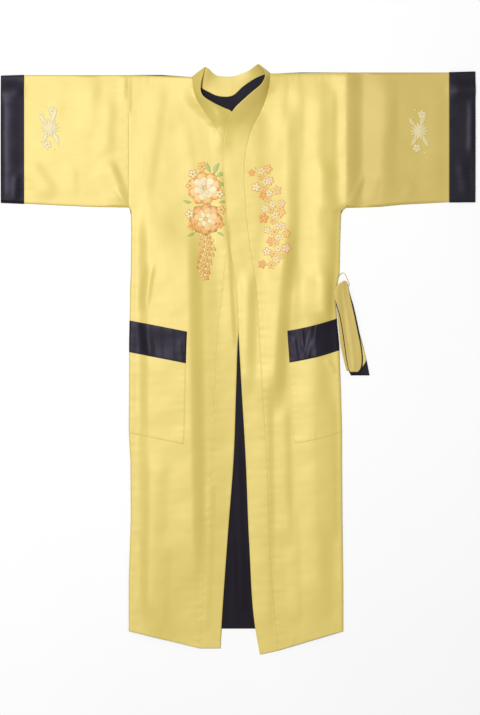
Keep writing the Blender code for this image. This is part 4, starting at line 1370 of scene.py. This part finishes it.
def embroider_right_front():
    """Two peonies among leaves and small blossoms, over a hanging spray of buds."""
    work = Embroidery("embroidery_right_front", front_surface(-1))
    for leaf in RIGHT_LEAVES:
        work.leaf("green", *leaf)
    for x, y, colour in RIGHT_BLOSSOMS:
        work.blossom(x, y, 0.0115, 60 * x, colour, "orange", "brown")
    work.peony(-0.080, 0.412, 0.040, 0.3, ("peach", "ivory", "blush"), "orange", "orange")
    work.peony(-0.077, 0.338, 0.038, 0.8, ("orange", "peach", "ivory"), "brown", "orange")
    for k in range(BUDS):
        share = k / (BUDS - 1)
        across = 2 * ((0.618 * k) % 1) - 1
        reach = 0.0165 * sin(pi * (0.14 + 0.82 * share)) ** 0.7
        x = -0.078 + 0.004 * sin(6 * share) + reach * across
        y = 0.302 - 0.104 * share + 0.002 * cos(2.4 * k)
        edge, colour = BUD_COLOURS[k % 4]
        turn, above = -pi / 2 + 0.7 * across, 0.0001 * (k % 3)
        work.patch(edge, x, y, turn, 0.0096, 0.0066, 0.0002, 0.6, 0.0, above)
        work.patch(colour, x, y - 0.0006, turn, 0.0076, 0.0042, 0.0004, 0.6, 0.0, above)
    work.link()


def embroider_left_front():
    """A plum tree's hanging branch, thick with small blossoms, leaves and buds."""
    work = Embroidery("embroidery_left_front", front_surface(1))
    work.stem("peach", BRANCH)
    y = np.linspace(0.458, 0.232, TWIGS)
    middle = curve(y, [p[1] for p in BRANCH], [p[0] for p in BRANCH])
    for k in range(TWIGS):
        sway = (-1) ** k
        reach = 0.020 + 0.007 * sin(2.3 * k)
        aside = sway * reach
        tip = (middle[k] + aside, y[k] + 0.004 * sin(1.7 * k))
        work.stem("peach", [(middle[k], y[k] + 0.006), (middle[k] + 0.6 * aside, y[k] + 0.004), tip])
        colour = ("peach", "ivory", "blush", "orange")[(3 * k) % 4]
        edge = ("orange", "peach", "orange")[k % 3]
        work.blossom(*tip, 0.0112 + 0.0016 * sin(5.0 * k), 1.7 * k, colour, edge, "ivory")
        inner = ("ivory", "peach")[k % 2]
        work.blossom(middle[k] + 0.2 * aside, y[k] - 0.005, 0.0094, 2.9 * k, inner, "peach", "orange")
        work.knot("orange", middle[k] - 0.5 * aside, y[k] + 0.002, 0.0040)
        work.leaf("peach", middle[k] - 0.35 * aside, y[k] - 0.002, pi / 2 - sway * 1.9, 0.011)
    work.link()


def embroider_sleeve(side, name, petal, edge):
    """A chrysanthemum between two small blossoms and leaves."""
    work = Embroidery(f"embroidery_sleeve_{name}", sleeve_surface(side))
    x, y = (-0.451, 0.557) if side < 0 else (0.435, 0.549)
    for turn, length in ((1.2, 0.034), (2.2, 0.028), (-1.1, 0.032), (-2.1, 0.028)):
        work.leaf(edge, x + 0.014 * cos(turn), y + 0.014 * sin(turn), turn, length)
    for ring, (count, reach) in enumerate(((14, 0.0225), (10, 0.0150), (6, 0.0085))):
        for k in range(count):
            way = 2 * pi * (k + 0.5 * ring) / count
            above = 0.00025 * ring
            work.patch(edge, x, y, way, reach, 0.0064, EDGE_RISE, 0.6, 0.0, above)
            work.patch(petal, x, y, way, 0.88 * reach, 0.0048, PETAL_RISE, 0.6, 0.0, above)
    for off_x, off_y in ((0.006, 0.040), (-0.006, -0.041)):
        work.blossom(x + off_x, y + off_y, 0.0105, off_y * 40, petal, edge, edge)
    for off_x, off_y in ((-0.010, 0.050), (0.012, -0.052), (-0.016, 0.032), (0.015, -0.031)):
        work.knot(petal, x + off_x, y + off_y, 0.0045)
    work.link()


def embroider_back():
    """A tall branch of pale flowers, on the side that the robe lies on."""
    work = Embroidery("embroidery_back", lambda x, y: np.full(np.shape(x), BACK_FLOOR), -1, 0.0)
    work.stem("cream", BACK_BRANCH)
    for x, y, size in BACK_FLOWERS:
        for turn in (0.6, 2.4, 4.1, 5.3):
            work.leaf("pale", x + 0.5 * size * cos(turn), y + 0.5 * size * sin(turn), turn, 0.9 * size)
        for share, petals in ((1.0, 9), (0.66, 7)):
            for k in range(petals):
                way = 2 * pi * (k + share) / petals
                work.patch("cream", x, y, way, size * share, 0.62 * size * share, 0.00022, 0.5)
    for k, (x, y) in enumerate(BACK_BLOSSOMS):
        for petal in range(5):
            way = k + 2 * pi * petal / 5
            work.patch("cream", x, y, way, 0.022, 0.019, 0.00022, 0.5)
        work.leaf("pale", x + 0.014, y - 0.010, -0.8 + 0.9 * k, 0.030)
    work.link()


embroider_right_front()
embroider_left_front()
embroider_sleeve(-1, "right", "ivory", "cream")
embroider_sleeve(1, "left", "cream", "pale")
embroider_back()


# Belt

def belt_rows(table, columns, rows):
    """Plan of a stretch of the belt, with its places across close together near both edges."""
    at = np.linspace(0, len(table) - 1, rows)
    y, left, right = (curve(at, range(len(table)), column(table, f)) for f in Stretch._fields)
    share = 0.5 - 0.5 * np.cos(np.linspace(0, pi, columns + 1))
    x = left[:, None] + (right - left)[:, None] * share
    return np.stack([x, np.broadcast_to(y[:, None], x.shape)], axis=2), share


def belt_step(x, y):
    """How much higher the belt lies where it is over the left front."""
    edge = side_x(y, 1)
    over = FRONT_Z + WALL / 2 + drape(np.minimum(x, edge), y, 1) - BELT_REAR_HEIGHT
    return over * (1 - smooth_step(0.001, BELT_RAMP, x - edge))


BELT_CREASES = rows_of(
    Fold,
    (0.246, 0.170, 0.262, 0.040, 0.006, 0.005, -0.0005),
    (0.262, 0.120, 0.280, -0.020, 0.008, 0.006, 0.0006),
    (0.252, 0.186, 0.258, 0.130, 0.005, 0.004, 0.0006),
    (0.268, 0.060, 0.272, -0.020, 0.004, 0.004, -0.0004),
)


def belt_layer(name, table, floor, material, thickness, step, seed, node=None):
    """One layer of the folded belt; step is 1 where it passes over the left front, else 0."""
    plan, share = belt_rows(table, 18, 70)
    x, y = plan[..., 0], plan[..., 1]
    width = (x[:, -1] - x[:, 0])[:, None]
    from_edge = np.minimum(share, 1 - share)[None, :] * width
    from_end = np.minimum(y[0, 0] - y, y - y[-1, 0])
    near = np.minimum(from_edge, from_end)
    z = floor + thickness / 2 + step * belt_step(x, y)
    z = z + 0.0004 * np.sin(pi * share)[None, :] + ripple(x, y, seed, 0.030, 0.00010)
    z = z + fold_height(x, y, BELT_CREASES) * step * smooth_step(0, 0.004, from_edge)
    half = thickness / 2 * (1 - 0.75 * round_edge(near, 0.0010))
    middle = np.stack([x, y, z], axis=2)
    out = upward(normals(middle)) * half[..., None]
    thing = shell(name, middle + out, middle - out, material, plan)
    if node:
        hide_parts(node)
    declare(thing, float(width.max()) + 0.001, float(y[0, 0] - y[-1, 0]), plan_area(plan), held="folded")


def shifted(table, sideways, down, narrower=0.0):
    """A copy of a belt layer's table, moved and made narrower."""
    left, right = sideways + narrower, sideways - narrower
    return tuple(Stretch(row.y + down, row.left + left, row.right + right) for row in table)


belt_layer("belt_rear_cloth", BELT_REAR, 0.0001, dark, 0.0008, 0, 21, "belt_rear")
belt_layer("belt_rear_second", shifted(BELT_REAR, -0.0012, 0.0016, 0.0004), 0.0010, gold, 0.0007, 0, 22)
belt_layer("belt_rear_third", shifted(BELT_REAR, 0.0004, 0.0006, 0.0006), 0.0018, dark, 0.0007, 0, 23)
stack = BELT_REAR_HEIGHT + GAP
belt_layer("belt_under_cloth", BELT_UNDER, stack, gold, BELT_CLOTH, 1, 24, "belt_under")
# The inner and front strands take the darker copy of the gold, which is painted shade
belt_layer("belt_inner_cloth", BELT_INNER, stack + BELT_LAYER, gold_turned_shaded, BELT_CLOTH, 1, 25, "belt_inner")
top_floor = stack + 2 * BELT_LAYER
# Dark reverse layer: partly the belt's real dark side, partly painted shade along the front strand's edges
belt_layer("belt_front_reverse", BELT_REVERSE_AND_SHADE, top_floor - 0.0004, dark, 0.0005, 1, 26)
belt_layer("belt_front_cloth", BELT_FRONT, top_floor + 0.0002, gold_turned_shaded, BELT_CLOTH, 1, 26, "belt_front")


def twisted_thread(name, path, radius, plies, pitch, material, node):
    """A cord of twisted plies along a path."""
    at = np.linspace(0, len(path) - 1, 150)
    centre = np.stack([curve(at, range(len(path)), [p[axis] for p in path]) for axis in range(3)], axis=1)
    run = unit(np.gradient(centre, axis=0))
    out = unit(np.stack([-run[:, 1], run[:, 0], np.zeros(len(run))], axis=1))
    up = np.cross(run, out)
    length = running_length(centre)
    points, faces = [], []
    sides = 6
    for ply in range(plies):
        turn = 2 * pi * (length / pitch + ply / plies)
        middle = centre + (out * np.cos(turn)[:, None] + up * np.sin(turn)[:, None]) * radius * 0.5
        angle = 2 * pi * np.arange(sides) / sides
        ring = out[:, None] * np.cos(angle)[None, :, None] + up[:, None] * np.sin(angle)[None, :, None]
        rings = middle[:, None] + ring * radius * 0.52
        base = sum(len(p) for p in points)
        number = base + np.arange(len(rings) * sides).reshape(-1, sides)
        faces.append(grid_faces(looped(number)))
        for row, flip in ((number[0], 1), (number[-1], -1)):
            row = row[::flip]
            faces.append(np.array([[row[0], row[1], row[2], row[3]], [row[0], row[3], row[4], row[5]]]))
        points.append(rings.reshape(-1, 3))
    thing = link(name, np.concatenate(points), np.concatenate(faces), material)
    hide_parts(node)


loop_thread = thread("loop_thread", (0.70, 0.56, 0.22), (0.55, 0.43, 0.15))
twisted_thread("belt_loop_thread", LOOP_PATH, 0.0008, 3, 0.006, loop_thread, "belt_loop")


for name, lines, light, shade in (
    ("gold", gold_stitches, (0.60, 0.48, 0.16), (0.50, 0.40, 0.13)),
    ("dark", dark_stitches, (0.030, 0.026, 0.042), (0.020, 0.017, 0.028)),
):
    link(f"stitches_{name}", *stitch_mesh(lines), thread(f"stitch_{name}", light, shade))


# Floor, light and camera

PHOTO_PIXEL = 0.0024
PHOTO_WIDTH, PHOTO_HEIGHT = 480, 715
ORIGIN_COLUMN, ORIGIN_ROW = 238, 360
AIM_X = (PHOTO_WIDTH / 2 - ORIGIN_COLUMN) * PHOTO_PIXEL
AIM_Y = (ORIGIN_ROW - PHOTO_HEIGHT / 2) * PHOTO_PIXEL
CAMERA_HEIGHT = 7.0
SENSOR = 36.0
KEY_PLACE = (-1.45, 1.15, 7.0)
KEY_SIZE = 1.3
KEY_POWER = 405
WORLD_STRENGTH = 0.30
FLOOR_DARK = (0.94, 0.94, 0.94)
FLOOR_LIGHT = (0.97, 0.97, 0.97)
FLOOR_HALF = 6.0
FLOOR_Z = -0.0004


def make_floor():
    n = Nodes("pale_floor")
    grain = n.noise(n.add("ShaderNodeTexCoord").outputs["Object"], 2.5, 2.0)
    n.colour(grain, 0, FLOOR_DARK, 1, FLOOR_LIGHT)
    n.shade({"Roughness": 0.9})
    mesh = bpy.data.meshes.new("floor")
    corners = [(x * FLOOR_HALF, y * FLOOR_HALF, FLOOR_Z) for x, y in ((-1, -1), (1, -1), (1, 1), (-1, 1))]
    mesh.from_pydata(corners, [], [(0, 1, 2, 3)])
    mesh.materials.append(n.material)
    floor = bpy.data.objects.new("floor", mesh)
    bpy.context.scene.collection.objects.link(floor)


def soft_box(name, place, size, power):
    """A square soft light that faces the middle of the robe."""
    data = bpy.data.lights.new(name, "AREA")
    data.shape = "SQUARE"
    data.size = size
    data.energy = power
    lamp = bpy.data.objects.new(name, data)
    lamp.location = place
    lamp.rotation_euler = (-Vector(place)).to_track_quat("-Z", "Y").to_euler()
    bpy.context.scene.collection.objects.link(lamp)


make_floor()
soft_box("key", KEY_PLACE, KEY_SIZE, KEY_POWER)
world = bpy.data.worlds.new("studio")
world.use_nodes = True
world.node_tree.nodes["Background"].inputs["Color"].default_value = (1, 1, 1, 1)
world.node_tree.nodes["Background"].inputs["Strength"].default_value = WORLD_STRENGTH
bpy.context.scene.world = world
bpy.context.scene.view_settings.view_transform = "Standard"

camera_data = bpy.data.cameras.new("camera")
camera_data.sensor_fit = "VERTICAL"
camera_data.sensor_height = SENSOR
camera_data.lens = SENSOR * CAMERA_HEIGHT / (PHOTO_HEIGHT * PHOTO_PIXEL)
camera_data.clip_end = 50
camera = bpy.data.objects.new("camera", camera_data)
camera.location = (AIM_X, AIM_Y, CAMERA_HEIGHT)
bpy.context.scene.collection.objects.link(camera)
bpy.context.scene.camera = camera
